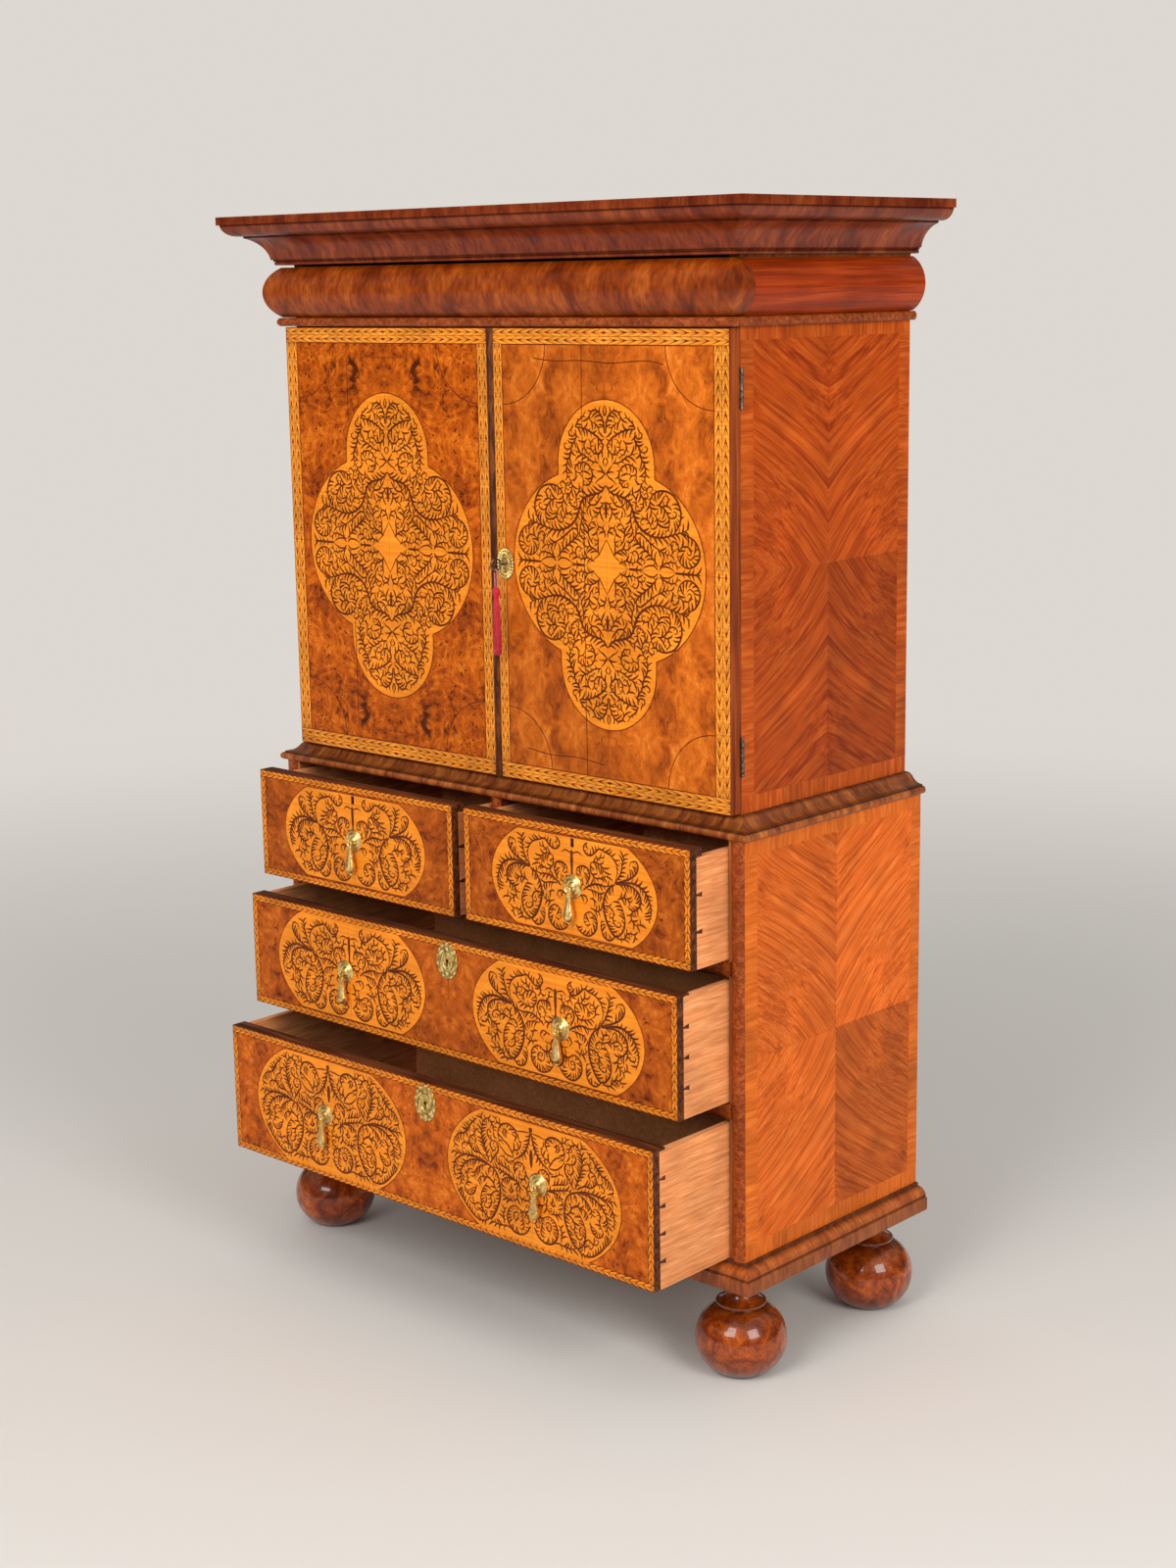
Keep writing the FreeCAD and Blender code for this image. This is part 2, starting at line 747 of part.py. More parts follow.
def keyhole(name, x, start_y, length, z):
    """A round hole with a slot below it, as tools for cutting."""
    hole = rod(name + "_hole", s.keyhole_radius, length, x, start_y, z, TO_BACK)
    half = s.keyhole_slot / 2
    slot = board(name + "_slot", (x - half, x + half), (start_y, start_y + length), (z - s.keyhole_drop, z))
    return hole, slot


def escutcheon(name, x, face_y, z, width, height, end_radius):
    """An oval plate on a face, before its keyhole is cut."""
    return extruded(name, "XZ_Plane", oval(width, height, end_radius), s.escutcheon_plate,
                    x, face_y - s.escutcheon_plate, z)


def chest_drawer(name, across, low_z, height, side_drop, opened, tails, handles, key, plated):
    """A drawer of the chest with its front, box, brasses and drops."""
    left, right = across
    face_y = chest_y - opened
    inner_y = face_y + s.front_thickness
    front = board(f"{name}_front", (left, right), (face_y, inner_y), (low_z, low_z + height))
    brasses = []
    fittings = []
    middle_z = low_z + height / 2
    for side, x in handles:
        pin, stem = staple(f"{name}_staple_{side}", x, face_y, middle_z)
        fittings.append(stem)
        brasses += [rose(f"{name}_rose_{side}", x, face_y, middle_z), pin]
        drop(f"drop_{name}" + (f"_{side}" if len(handles) > 1 else ""), x, face_y, middle_z)
    key_x, key_drop = key
    hole_z = low_z + height - key_drop
    case_y = inner_y - s.lock_depth
    case = board(f"{name}_lock", (key_x - s.lock_width / 2, key_x + s.lock_width / 2), (case_y, inner_y),
                 (hole_z - s.lock_below_key, hole_z + s.lock_above_key))
    plate_y = face_y - s.escutcheon_plate
    holes = keyhole(f"{name}_keyhole", key_x, plate_y, case_y - plate_y, hole_z)
    fittings += [case, *holes]
    brasses.append(case)
    if plated:
        plate = escutcheon(f"{name}_escutcheon", key_x, face_y, hole_z, s.escutcheon_width,
                           s.escutcheon_height, s.escutcheon_end)
        brasses.append(cut(f"{name}_pierced_escutcheon", plate, *holes))
    drawer(name, front, across, inner_y, low_z, height - side_drop,
           inside_back_y - s.drawer_stop - chest_y - s.front_thickness, tails, fittings)
    keep(f"{name}_brasses", group(f"{name}_brass_set", *brasses))


drawer_half = chest_in - s.drawer_gap
long_span = (-drawer_half, drawer_half)
short_inner = s.divider / 2 + s.drawer_gap
short_middle = (drawer_half + short_inner) / 2
long_handles = [("left", -s.long_handle_x), ("right", s.long_handle_x)]
long_key = (as_size(0), s.escutcheon_drop)
chest_drawer("long_lower", long_span, long_lower_z, s.long_lower_height, s.long_side_drop,
             s.long_lower_open, LONG_LOWER_TAILS, long_handles, long_key, True)
chest_drawer("long_upper", long_span, long_upper_z, s.long_upper_height, s.long_side_drop,
             s.long_upper_open, LONG_UPPER_TAILS, long_handles, long_key, True)
chest_drawer("short_left", (-drawer_half, -short_inner), short_z, s.short_height, s.short_side_drop,
             s.short_left_open, SHORT_TAILS, [("middle", -short_middle)],
             (-short_middle, s.short_key_drop), False)
chest_drawer("short_right", (short_inner, drawer_half), short_z, s.short_height, s.short_side_drop,
             s.short_right_open, SHORT_TAILS, [("middle", short_middle)],
             (short_middle, s.short_key_drop), False)


# Butt hinges on the outer edges of the doors: leaves let in flush, three knuckles and a pin
hinge_x = cabinet_half + s.hinge_knuckle + s.knuckle_gap
hinge_y = cabinet_y - s.hinge_joint_gap / 2
hinge_levels = (door_z + s.hinge_inset, door_z + s.door_height - s.hinge_inset - s.hinge_height)


def hinge_leaf(name, side, z, deep, knuckles):
    """A leaf let into the wood, with a tongue from it to each of its knuckles."""
    inner = cabinet_half - s.hinge_leaf_width
    spans = {"right": ((inner, cabinet_half), (cabinet_half, hinge_x)),
             "left": ((-cabinet_half, -inner), (-hinge_x, -cabinet_half))}
    leaf_span, tongue_span = spans[side]
    pieces = [board(name + "_leaf", leaf_span, deep, (z, z + s.hinge_height))]
    for index, (low, top) in enumerate(knuckles):
        pieces.append(board(f"{name}_tongue_{index}", tongue_span, deep, (low, top)))
        pieces.append(rod(f"{name}_knuckle_{index}", s.hinge_knuckle, top - low,
                          hinge_x if side == "right" else -hinge_x, hinge_y, low))
    return pieces


def hinges(side):
    """Two hinges for one door: the fixed halves and the halves that swing."""
    fixed_halves = []
    swinging_halves = []
    x = hinge_x if side == "right" else -hinge_x
    for level, z in zip(("low", "high"), hinge_levels):
        name = f"{side}_{level}_hinge"
        third = s.hinge_height / 3
        middle = (z + third + s.knuckle_gap, z + third * 2 - s.knuckle_gap)
        outer = [(z, z + third), (z + third * 2, z + s.hinge_height)]
        pieces = hinge_leaf(name + "_fixed", side, z, (cabinet_y, cabinet_y + s.hinge_leaf), outer)
        pieces.append(rod(name + "_pin", s.hinge_pin, s.hinge_height, x, hinge_y, z))
        fixed_halves.append(fuse(name + "_fixed_half", *pieces))
        pieces = hinge_leaf(name + "_swing", side, z, (door_back_y - s.hinge_leaf, door_back_y), [middle])
        bore = rod(name + "_bore", s.hinge_pin + s.hinge_pin_gap, s.hinge_height, x, hinge_y, z)
        swinging_halves.append(cut(name + "_swinging_half", fuse(name + "_swing_whole", *pieces), bore))
    return fixed_halves, swinging_halves


fixed_left, swinging_left = hinges("left")
fixed_right, swinging_right = hinges("right")
keep("cabinet_hinges", group("fixed_hinges", *fixed_left, *fixed_right))
keep("left_door_hinge_leaves", group("left_swinging", *swinging_left))
keep("right_door_hinge_leaves", group("right_swinging", *swinging_right))


# Cabinet carcase: sides housed for the shelves, bottom, frieze board, top and back boards
def cabinet_carcase():
    sides_top = top_z - s.cornice_top_board
    floor_z = cabinet_z + s.cabinet_bottom_board
    ceiling_z = frieze_floor_z - s.frieze_board
    spacing = (ceiling_z - floor_z + s.shelf) / (SHELF_COUNT + 1)
    reach = cabinet_in + s.shelf_housing
    shelves = []
    for index in range(1, SHELF_COUNT + 1):
        low = floor_z + spacing * index - s.shelf
        shelves.append(board(f"shelf_{index}", (-reach, reach), (cabinet_y + s.shelf_setback, inside_back_y),
                             (low, low + s.shelf)))
    for side, low, leaves in (("left", -cabinet_half, fixed_left), ("right", cabinet_in, fixed_right)):
        plank = board(f"cabinet_plank_{side}", (low, low + s.cabinet_side_board), (cabinet_y, back_y),
                      (cabinet_z, sides_top))
        keep(f"cabinet_side_{side}", cut(f"housed_side_{side}", plank, *shelves, *leaves))
    inside = (-cabinet_in, cabinet_in)
    deep = (cabinet_y, inside_back_y)
    keep("shelves", group("shelf_pair", *shelves))
    keep("cabinet_bottom", board("cabinet_floor", inside, deep, (cabinet_z, floor_z)))
    keep("frieze_board", board("frieze_floor", inside, deep, (ceiling_z, frieze_floor_z)))
    keep("cabinet_top", board("cabinet_ceiling", inside, deep, (cornice_z, cornice_z + s.cabinet_top_board)))
    keep("cornice_top", board("dust_top", (-cabinet_half, cabinet_half), (cabinet_y, back_y),
                              (sides_top, top_z)))
    upright_boards("cabinet_back_boards", cabinet_in, cabinet_z, sides_top)


cabinet_carcase()


# Doors: two veneered leaves that meet edge to edge, with an astragal on the right one
right_edge_x = s.door_meeting_x + s.door_meeting_gap
door_high = (door_z, door_z + s.door_height)
door_deep = (door_y, door_back_y)
left_plank = board("left_door_plank", (-cabinet_half, s.door_meeting_x), door_deep, door_high)
right_plank = board("right_door_plank", (right_edge_x, cabinet_half), door_deep, door_high)
astragal_outline = [(0, 0), (s.astragal_width, 0, arc_radius(s.astragal_width, s.astragal_rise))]


# Door lock: a case let into the back of the right door, a bolt, an oval escutcheon and a key
bolt_z = key_z + s.bolt_rise
case_front_y = door_back_y - s.door_lock_depth
case_right_x = right_edge_x + s.door_lock_width
bolt_y = case_front_y + (s.door_lock_depth - s.bolt_thickness) / 2


def bolt_way(name, left, gap):
    """The room that the bolt takes, with a gap all round, from its left end."""
    return board(name, (left - gap, left + s.bolt_length + gap),
                 (bolt_y - gap, bolt_y + s.bolt_thickness + gap), (bolt_z - gap, bolt_z + s.bolt_height + gap))


case_block = board("lock_block", (right_edge_x, case_right_x), (case_front_y, door_back_y),
                   (key_z - s.door_lock_below_key, key_z + s.door_lock_above_key))
bolt_channel = bolt_way("bolt_channel", right_edge_x, s.bolt_gap)
bolt_mortise = bolt_way("bolt_mortise", right_edge_x - s.bolt_throw, s.bolt_gap)
cavity_y = case_front_y + s.bolt_gap
cavity = rod("lock_cavity", s.lock_cavity_radius, s.lock_cavity_depth, s.door_key_x, cavity_y, key_z, TO_BACK)
plate_y = door_y - s.escutcheon_plate
key_holes = keyhole("door_keyhole", s.door_key_x, plate_y, cavity_y - plate_y, key_z)
plate = escutcheon("door_plate", s.door_key_x, door_y, key_z, s.door_escutcheon_width,
                   s.door_escutcheon_height, s.door_escutcheon_end)
bow_y = door_y - s.key_bow_stand
bow = ring("key_bow_ring", s.key_bow, s.key_bow_wire, s.door_key_x, bow_y, key_z, TO_SIDE)
shaft_y = bow_y + s.key_bow
shaft_end_y = cavity_y + s.lock_cavity_depth - s.bolt_gap
shaft = rod("key_shaft_rod", s.key_shaft, shaft_end_y - shaft_y, s.door_key_x, shaft_y, key_z, TO_BACK)
bit_half = s.key_bit_thickness / 2
bit = board("key_bit", (s.door_key_x - bit_half, s.door_key_x + bit_half),
            (shaft_end_y - s.key_bit_length, shaft_end_y), (key_z - s.key_bit_drop, key_z))

keep("left_door_leaf", cut("left_leaf", left_plank, *swinging_left, bolt_mortise))
keep("right_door_leaf", cut("right_leaf", right_plank, *swinging_right, case_block, *key_holes))
keep("right_door_astragal", extruded("astragal_strip", "XY_Plane", astragal_outline, s.door_height,
                                     right_edge_x, door_y, door_z))
keep("door_lock_case", cut("lock_case", case_block, bolt_channel, cavity, *key_holes))
keep("door_escutcheon", cut("pierced_plate", plate, *key_holes))
keep("lock_bolt", bolt_way("bolt", right_edge_x, as_size(0)))
keep("key", fuse("whole_key", bow, shaft, bit))


# Tassel: a cord loop over the lower rim of the key's bow, a knotted head, a tie and a silk skirt
def tassel():
    rim_z = key_z - s.key_bow
    loop = s.key_bow_wire + s.tassel_cord_gap + s.tassel_cord_wire
    head_z = rim_z - s.tassel_cord_drop
    arch = ring("cord_arch", loop, s.tassel_cord_wire, s.door_key_x, bow_y, rim_z, TO_FRONT, HALF_TURN)
    legs = []
    for side, x in (("left", s.door_key_x - loop), ("right", s.door_key_x + loop)):
        legs.append(rod(f"cord_{side}", s.tassel_cord_wire, s.tassel_cord_drop, x, bow_y, head_z))
    keep("tassel_cord", fuse("cord_loop", arch, *legs))
    tie_top = -s.tassel_head_height
    tie_low = tie_top - s.tassel_tie_height
    skirt_low = tie_low - s.tassel_skirt_length
    outline = [
        (0, 0),
        (0, skirt_low),
        (s.tassel_skirt_radius, skirt_low),
        (s.tassel_skirt_radius, tie_low - s.tassel_skirt_shoulder),
        (s.tassel_tie_radius, tie_low, s.tassel_skirt_shoulder),
        (s.tassel_tie_radius, tie_top),
        (s.tassel_head_radius, tie_top / 2, s.tassel_head_radius * 2),
        (s.tassel_head_top, 0, s.tassel_head_radius * 2),
    ]
    keep("tassel", turned("tassel_body", outline, s.door_key_x, bow_y, head_z))


tassel()


# Frieze: a bead, fixed cushions along the sides and a drawer whose cushion front returns at the ends
def frieze_bead_profile(inner):
    flat = s.frieze_bead_reach - s.frieze_bead_rise
    return [
        (-as_size(inner), 0),
        (flat, 0),
        (flat, s.frieze_bead_height, arc_radius(s.frieze_bead_height, s.frieze_bead_rise)),
        (-as_size(inner), s.frieze_bead_height),
    ]


frieze_y = cabinet_y - s.frieze_forward
mitred_moulding("frieze_bead", frieze_bead_profile, cabinet_half, frieze_y, frieze_bead_z,
                s.frieze_bead_height, s.frieze_bead_reach, s.frieze_forward)


def frieze():
    swell = arc_radius(s.frieze_height, s.cushion_rise)
    section = [(0, 0), (s.cushion_base, 0), (s.cushion_base, s.frieze_height, swell), (0, s.frieze_height)]
    cushions = []
    for side, turn, x in (("right", list, cabinet_half), ("left", mirrored, -cabinet_half)):
        cushions.append(extruded(f"side_cushion_{side}", "XZ_Plane", turn(section), back_y - cabinet_y,
                                 x, cabinet_y, frieze_z))
    keep("frieze_cushions", group("side_cushions", *cushions))
    inner_y = cabinet_y - s.frieze_joint_gap
    base_half = cabinet_half + s.cushion_base
    outer = base_half + s.cushion_rise
    front_section = [(inner_y - frieze_y, 0), (inner_y - frieze_y, s.frieze_height),
                     (-s.cushion_base, s.frieze_height), (-s.cushion_base, 0, swell)]
    across_run = extruded("frieze_front_run", "YZ_Plane", front_section, outer * 2,
                          -outer, frieze_y, frieze_z)
    end_section = [(-base_half, 0, swell), (base_half, 0), (base_half, s.frieze_height, swell),
                   (-base_half, s.frieze_height)]
    depth = inner_y - frieze_y + s.cushion_base + s.cushion_rise
    returns = extruded("frieze_returns", "XZ_Plane", end_section, depth, 0, inner_y - depth, frieze_z)
    front = doc.addObject("Part::Common", "frieze_front")
    front.Base = across_run
    front.Tool = returns
    box_half = cabinet_in - s.drawer_gap
    drawer("frieze", front, (-box_half, box_half), inner_y, frieze_z, s.frieze_height - s.long_side_drop,
           inside_back_y - s.drawer_stop - inner_y, FRIEZE_TAILS, [])


frieze()


# Cornice: bead, fillet, cavetto, ovolo and fascia, in three mitred lengths
def cornice_profile(inner):
    fillet_z = s.cornice_bead_height + s.cornice_fillet
    fascia_z = s.cornice_height - s.cornice_fascia
    step_out = s.cornice_base + s.cornice_fillet
    return [
        (-as_size(inner), 0),
        (s.cornice_base, 0),
        (s.cornice_base, s.cornice_bead_height, s.cornice_bead_swell),
        (step_out, s.cornice_bead_height),
        (step_out, fillet_z),
        (s.cavetto_start_out, fillet_z),
        (s.cavetto_end_out, s.cavetto_end_up, -s.cavetto_radius),
        (s.cavetto_end_out, s.cavetto_end_up + s.cornice_fillet),
        (s.ovolo_start_out, s.cavetto_end_up + s.cornice_fillet),
        (s.ovolo_end_out, s.ovolo_end_up, s.ovolo_radius),
        (s.ovolo_end_out, fascia_z),
        (s.cornice_reach, fascia_z),
        (s.cornice_reach, s.cornice_height),
        (-as_size(inner), s.cornice_height),
    ]


mitred_moulding("cornice_moulding", cornice_profile, cabinet_half, cabinet_y - s.cornice_forward, cornice_z,
                s.cornice_height, s.cornice_reach, s.cornice_forward)

# Recompute, test every object and every shape, and write each sub-part
doc.recompute()
for item in doc.Objects:
    if "Invalid" in item.State or "Error" in item.State:
        raise RuntimeError(f"{item.Label} failed: {item.State}")
labels = [node.Label for node in nodes]
if len(set(labels)) != len(labels):
    raise RuntimeError("two sub-parts share a name")
for node in nodes:
    if node.Shape.isNull() or not node.Shape.isValid() or not node.Shape.Solids:
        raise RuntimeError(f"{node.Label} has no sound shape")
os.makedirs("parts", exist_ok=True)
for node in nodes:
    node.Shape.exportStep(f"parts/{node.Label}.step")
print(f"{len(nodes)} sub-parts, {sum(len(node.Shape.Solids) for node in nodes)} solids")
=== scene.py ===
import bpy
import numpy as np
from mathutils import Matrix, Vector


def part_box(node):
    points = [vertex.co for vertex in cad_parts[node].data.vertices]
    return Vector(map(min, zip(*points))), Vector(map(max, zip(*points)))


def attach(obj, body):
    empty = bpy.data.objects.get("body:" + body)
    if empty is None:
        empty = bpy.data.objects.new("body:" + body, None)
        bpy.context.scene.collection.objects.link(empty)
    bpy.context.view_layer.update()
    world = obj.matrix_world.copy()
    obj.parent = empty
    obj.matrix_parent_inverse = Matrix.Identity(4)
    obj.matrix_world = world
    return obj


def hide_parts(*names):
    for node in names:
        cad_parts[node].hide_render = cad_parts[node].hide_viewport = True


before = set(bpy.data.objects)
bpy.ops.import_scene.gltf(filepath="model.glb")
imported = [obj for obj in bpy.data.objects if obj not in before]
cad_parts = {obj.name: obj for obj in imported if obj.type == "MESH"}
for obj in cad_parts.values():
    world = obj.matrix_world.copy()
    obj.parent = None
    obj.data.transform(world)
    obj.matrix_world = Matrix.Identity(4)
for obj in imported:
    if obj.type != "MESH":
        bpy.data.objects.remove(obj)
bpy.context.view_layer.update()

# Camera. It stands off the right front corner at about eye height and looks down on the piece,
# so that both doors, the open drawers and the right side show. Lens worked out for 1200 x 1600.
def standing(across, up, back, spot):
    """The matrix of an object that stands at a spot, its three axes along across, up and back."""
    return Matrix(np.vstack([np.column_stack([across, up, back, spot]), [0, 0, 0, 1]]).tolist())


scene = bpy.context.scene
scene.view_settings.view_transform = "Standard"
eye = np.array([2.7522, -2.8819, 1.7069])
yaw, pitch, roll = np.radians([42.7715, -11.7794, -0.9087])
ahead = np.array([-np.sin(yaw) * np.cos(pitch), np.cos(yaw) * np.cos(pitch), np.sin(pitch)])
right = np.cross(ahead, [0, 0, 1])
right /= np.linalg.norm(right)
upward = np.cross(right, ahead)
right, upward = (
    np.cos(roll) * right + np.sin(roll) * upward,
    np.cos(roll) * upward - np.sin(roll) * right,
)
camera = bpy.data.objects.new("camera", bpy.data.cameras.new("camera"))
camera.data.sensor_width, camera.data.lens = 36, 55.396
camera.matrix_world = standing(right, upward, -ahead, eye)
scene.collection.objects.link(camera)
scene.camera = camera


# Bun feet. Four feet turned from solid walnut, stained and burnished in the lathe, with a spigot
# that is glued into the blocks under the bottom board.
def ink(code):
    """A colour written as sRGB hex, as linear RGBA: the sRGB curve undone channel by channel."""
    srgb = np.array([int(code[i : i + 2], 16) for i in (1, 3, 5)]) / 255
    linear = np.where(srgb <= 0.04045, srgb / 12.92, ((srgb + 0.055) / 1.055) ** 2.4)
    return (*linear.tolist(), 1.0)


def add(tree, kind, inputs=None, stops=(), **settings):
    """Adds one node: its settings, the stops of its ramp if it has one, and each input's link or value."""
    made = tree.nodes.new("ShaderNode" + kind)
    for field, value in settings.items():
        setattr(made, field, value)
    while len(stops) > len(made.color_ramp.elements if stops else ()):
        made.color_ramp.elements.new(1.0)
    for place, (position, colour) in enumerate(stops):
        made.color_ramp.elements[place].position = position
        made.color_ramp.elements[place].color = ink(colour)
    for name, value in (inputs or {}).items():
        if isinstance(value, bpy.types.NodeSocket):
            tree.links.new(value, made.inputs[name])
        else:
            made.inputs[name].default_value = value
    return made.outputs


def finish_of(name, **constants):
    """A new material with its shader; constants go straight to the shader's own sockets."""
    made = bpy.data.materials.new(name)
    made.use_nodes = True
    shader = made.node_tree.nodes["Principled BSDF"]
    for socket, value in constants.items():
        shader.inputs[socket.replace("_", " ")].default_value = value
    return made, made.node_tree, shader


def dress(finish, *names):
    """Gives CAD nodes their finish in their first material slot."""
    for name in names:
        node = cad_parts[name]
        if not node.material_slots:
            node.data.materials.append(None)
        node.material_slots[0].material = finish


def wear_and_shade_by_height(tree, height, colour, stops):
    """A colour made darker or lighter by height, as painted shade and painted highlight, over wax and wear where
    a moulding has them: stops are (z in mm, factor), straight between them.
    """
    low, high = stops[0][0], stops[-1][0]
    place = add(tree, "MapRange", {"Value": height, "From Min": low / 1000, "From Max": high / 1000})["Result"]
    greys = [((z - low) / (high - low), "#" + f"{round(255 * (f / 2) ** 0.4545):02X}" * 3) for z, f in stops]
    shade = add(tree, "ValToRGB", {"Fac": place}, stops=greys)["Color"]
    double = add(tree, "VectorMath", {0: shade, "Scale": 2.0}, operation="SCALE")["Vector"]
    return add(tree, "VectorMath", {0: colour, 1: double}, operation="MULTIPLY")["Vector"]


# Turned walnut: wax-polished and handled, so nearly black in the hollows of the figure and orange where the
# polish has worn, with a hard shine. Figure about 34 mm, pores drawn at 3 mm to show. Over that, the colour is
# painted darker at the foot, under the neck ring and at the top, and lighter round the swell of the bun: painted
# shade and painted highlight.
turned_walnut, tree, shader = finish_of(
    "turned_walnut", Specular_IOR_Level=0.2, Coat_Weight=0.7, Coat_Roughness=0.05
)
place = add(tree, "TexCoord")["Object"]
swirls = {"Vector": place, "Scale": 1000 / 34, "Detail": 5.0, "Roughness": 0.6, "Distortion": 1.4}
figure = add(tree, "TexNoise", swirls)["Fac"]
pores = add(tree, "TexNoise", {"Vector": place, "Scale": 1000 / 3, "Detail": 2.0})["Fac"]
foot_tones = ((0.28, "#521800"), (0.45, "#823204"), (0.58, "#A44808"), (0.76, "#CA6C1A"))
mottle = add(tree, "ValToRGB", {"Fac": figure}, stops=foot_tones)["Color"]
speck = add(tree, "ValToRGB", {"Fac": pores}, stops=((0.36, "#B89A88"), (0.5, "#FFFFFF")))["Color"]
worn = add(tree, "Mix", {0: 0.7, 6: mottle, 7: speck}, data_type="RGBA", blend_type="MULTIPLY")[2]
height = add(tree, "SeparateXYZ", {"Vector": place})["Z"]
# Painted shade and painted highlight by height: dark at the floor, under the neck ring and at the top, lighter
# round the swell.
foot_bands = ((0, 0.4), (14, 0.85), (60, 1.2), (95, 0.95), (112, 0.5), (122, 0.8), (140, 1.0), (157, 0.5))
shaded_feet = wear_and_shade_by_height(tree, height, worn, foot_bands)
tree.links.new(shaded_feet, shader.inputs["Base Color"])
sheen = add(tree, "MapRange", {"Value": figure, "To Min": 0.38, "To Max": 0.2})["Result"]
tree.links.new(sheen, shader.inputs["Roughness"])
dress(turned_walnut, "bun_feet")


# Chest carcase. Pine boards nailed and housed together: sides, top, bottom, dustboards and upright
# back boards, with walnut rails and divider in front. Only the outside of the sides is veneered.
def tinted(tree, shader, colour, base=1.0):
    """Gives the shader a colour times the sum of base and the piece's tone attribute. The tone sets leaves apart;
    on the quartered side veneers it is a painted sheen, and on the cast reliefs and the tassel's head a painted
    highlight on the tops and painted shade in the hollows."""
    tone = add(tree, "Attribute", attribute_name="tone")["Fac"]
    lift = add(tree, "Math", {0: tone, 1: base}, operation="ADD")[0]
    toned = add(tree, "VectorMath", {0: colour, "Scale": lift}, operation="SCALE")["Vector"]
    tree.links.new(toned, shader.inputs["Base Color"])


def textured(tree, shader, marks, dull, bright, relief):
    """Gives the shader a roughness that goes from dull to bright with the marks, and a bump of the same
    marks."""
    rough = add(tree, "MapRange", {"Value": marks, "To Min": dull, "To Max": bright})["Result"]
    tree.links.new(rough, shader.inputs["Roughness"])
    bump = add(tree, "Bump", {"Height": marks, "Strength": relief, "Distance": 0.001})["Normal"]
    tree.links.new(bump, shader.inputs["Normal"])
    return rough


def timber(
    name, tones, ring, run, along=None, fibre=0.35, gloss=0.42, level=0.14, swirl=0.5, relief=0.05, sway=0
):
    """A wood finish. Bands are noise drawn out to one run (mm) along the grain and squeezed to one ring (mm)
    across it; the same noise six times finer gives the fibres and the bump, and clouds about 80 mm across
    drift over them. The grain follows an object axis, or else the u of the piece's UV map, and a noise 340 mm
    wide bends it by up to sway (mm); the tone attribute makes a leaf lighter or darker."""
    made, tree, shader = finish_of(name, Specular_IOR_Level=level)
    place = add(tree, "TexCoord")["Object" if along else "UV"]
    axis = "XYZ".index(along or "X")
    scale = np.full(3, 1000 / ring)
    scale[axis] = 1000 / run
    finer = np.full(3, 6000 / ring)
    finer[axis] = 2500 / run
    slow = add(tree, "TexNoise", {"Vector": place, "Scale": 1000 / 340, "Detail": 0.0})["Color"]
    swayed = {0: slow, 1: (sway / 1000,) * 3, 2: place}
    lines = add(tree, "VectorMath", swayed, operation="MULTIPLY_ADD")["Vector"]
    bent = add(tree, "Mapping", {"Vector": lines, "Scale": scale})["Vector"]
    fine = add(tree, "Mapping", {"Vector": lines, "Scale": finer})["Vector"]
    drawn = {"Vector": bent, "Scale": 1.0, "Detail": 3.0, "Roughness": 0.55, "Distortion": swirl}
    bands = add(tree, "TexNoise", drawn)["Fac"]
    hairs = add(tree, "TexNoise", {"Vector": fine, "Scale": 1.0, "Detail": 2.0})["Fac"]
    spots = ((0.34, tones[0]), (0.5, tones[1]), (0.66, tones[2]))
    colour = add(tree, "ValToRGB", {"Fac": bands}, stops=spots)["Color"]
    dark = add(tree, "ValToRGB", {"Fac": hairs}, stops=((0.35, "#A89284"), (0.62, "#FFFFFF")))["Color"]
    lined = add(tree, "Mix", {0: fibre, 6: colour, 7: dark}, data_type="RGBA", blend_type="MULTIPLY")[2]
    cloud = add(tree, "TexNoise", {"Vector": place, "Scale": 1000 / 80, "Detail": 2.0})["Fac"]
    drift = {"Value": cloud, "From Min": 0.3, "From Max": 0.7, "To Min": 0.86, "To Max": 1.14}
    tinted(tree, shader, lined, add(tree, "MapRange", drift)["Result"])
    textured(tree, shader, hairs, gloss + 0.1, gloss - 0.06, relief)
    return made


# Pine: dry, unpolished wood gone brown with age, planed along the board, so matt with open grain.
# Rings about 15 mm apart, and the fibres drawn at over 2 mm so that they show.
dry = {"ring": 15, "run": 260, "fibre": 0.5, "gloss": 0.72, "level": 0.15, "swirl": 0.4, "relief": 0.2}
pine_upright = timber("old_pine_upright", ("#84481F", "#9E602F", "#B27642"), along="Z", **dry)
pine_across = timber("old_pine_across", ("#74401E", "#905A2E", "#A66E3E"), along="X", **dry)
dress(pine_upright, "chest_back_boards", "chest_side_left", "chest_side_right")
dress(pine_across, "chest_bottom", "chest_top", "dustboards")
rail_walnut = timber(
    "rail_walnut", ("#4A2010", "#6E3418", "#8A4A22"), ring=8, run=160, along="X", fibre=0.5, gloss=0.5,
)
dress(rail_walnut, "drawer_rails", "short_drawer_divider")


# Side veneers of the chest. Saw-cut walnut leaves about 2 mm thick, four to a side, matched round
# a cross seam so that the stripes make a V above and its reverse below, in a cross-grain border.
def piece(name, points, faces, tones, finish, body):
    """A mesh of points (m) and faces, with a tone for each point, in its finish, on its body and in its
    slot."""
    mesh = bpy.data.meshes.new(name)
    mesh.from_pydata(points, [], faces)
    mesh.attributes.new("tone", "FLOAT", "POINT").data.foreach_set("value", tones.astype(np.float32))
    mesh.materials.append(finish)
    made = bpy.data.objects.new(name, mesh)
    scene.collection.objects.link(made)
    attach(made, body)
    return made


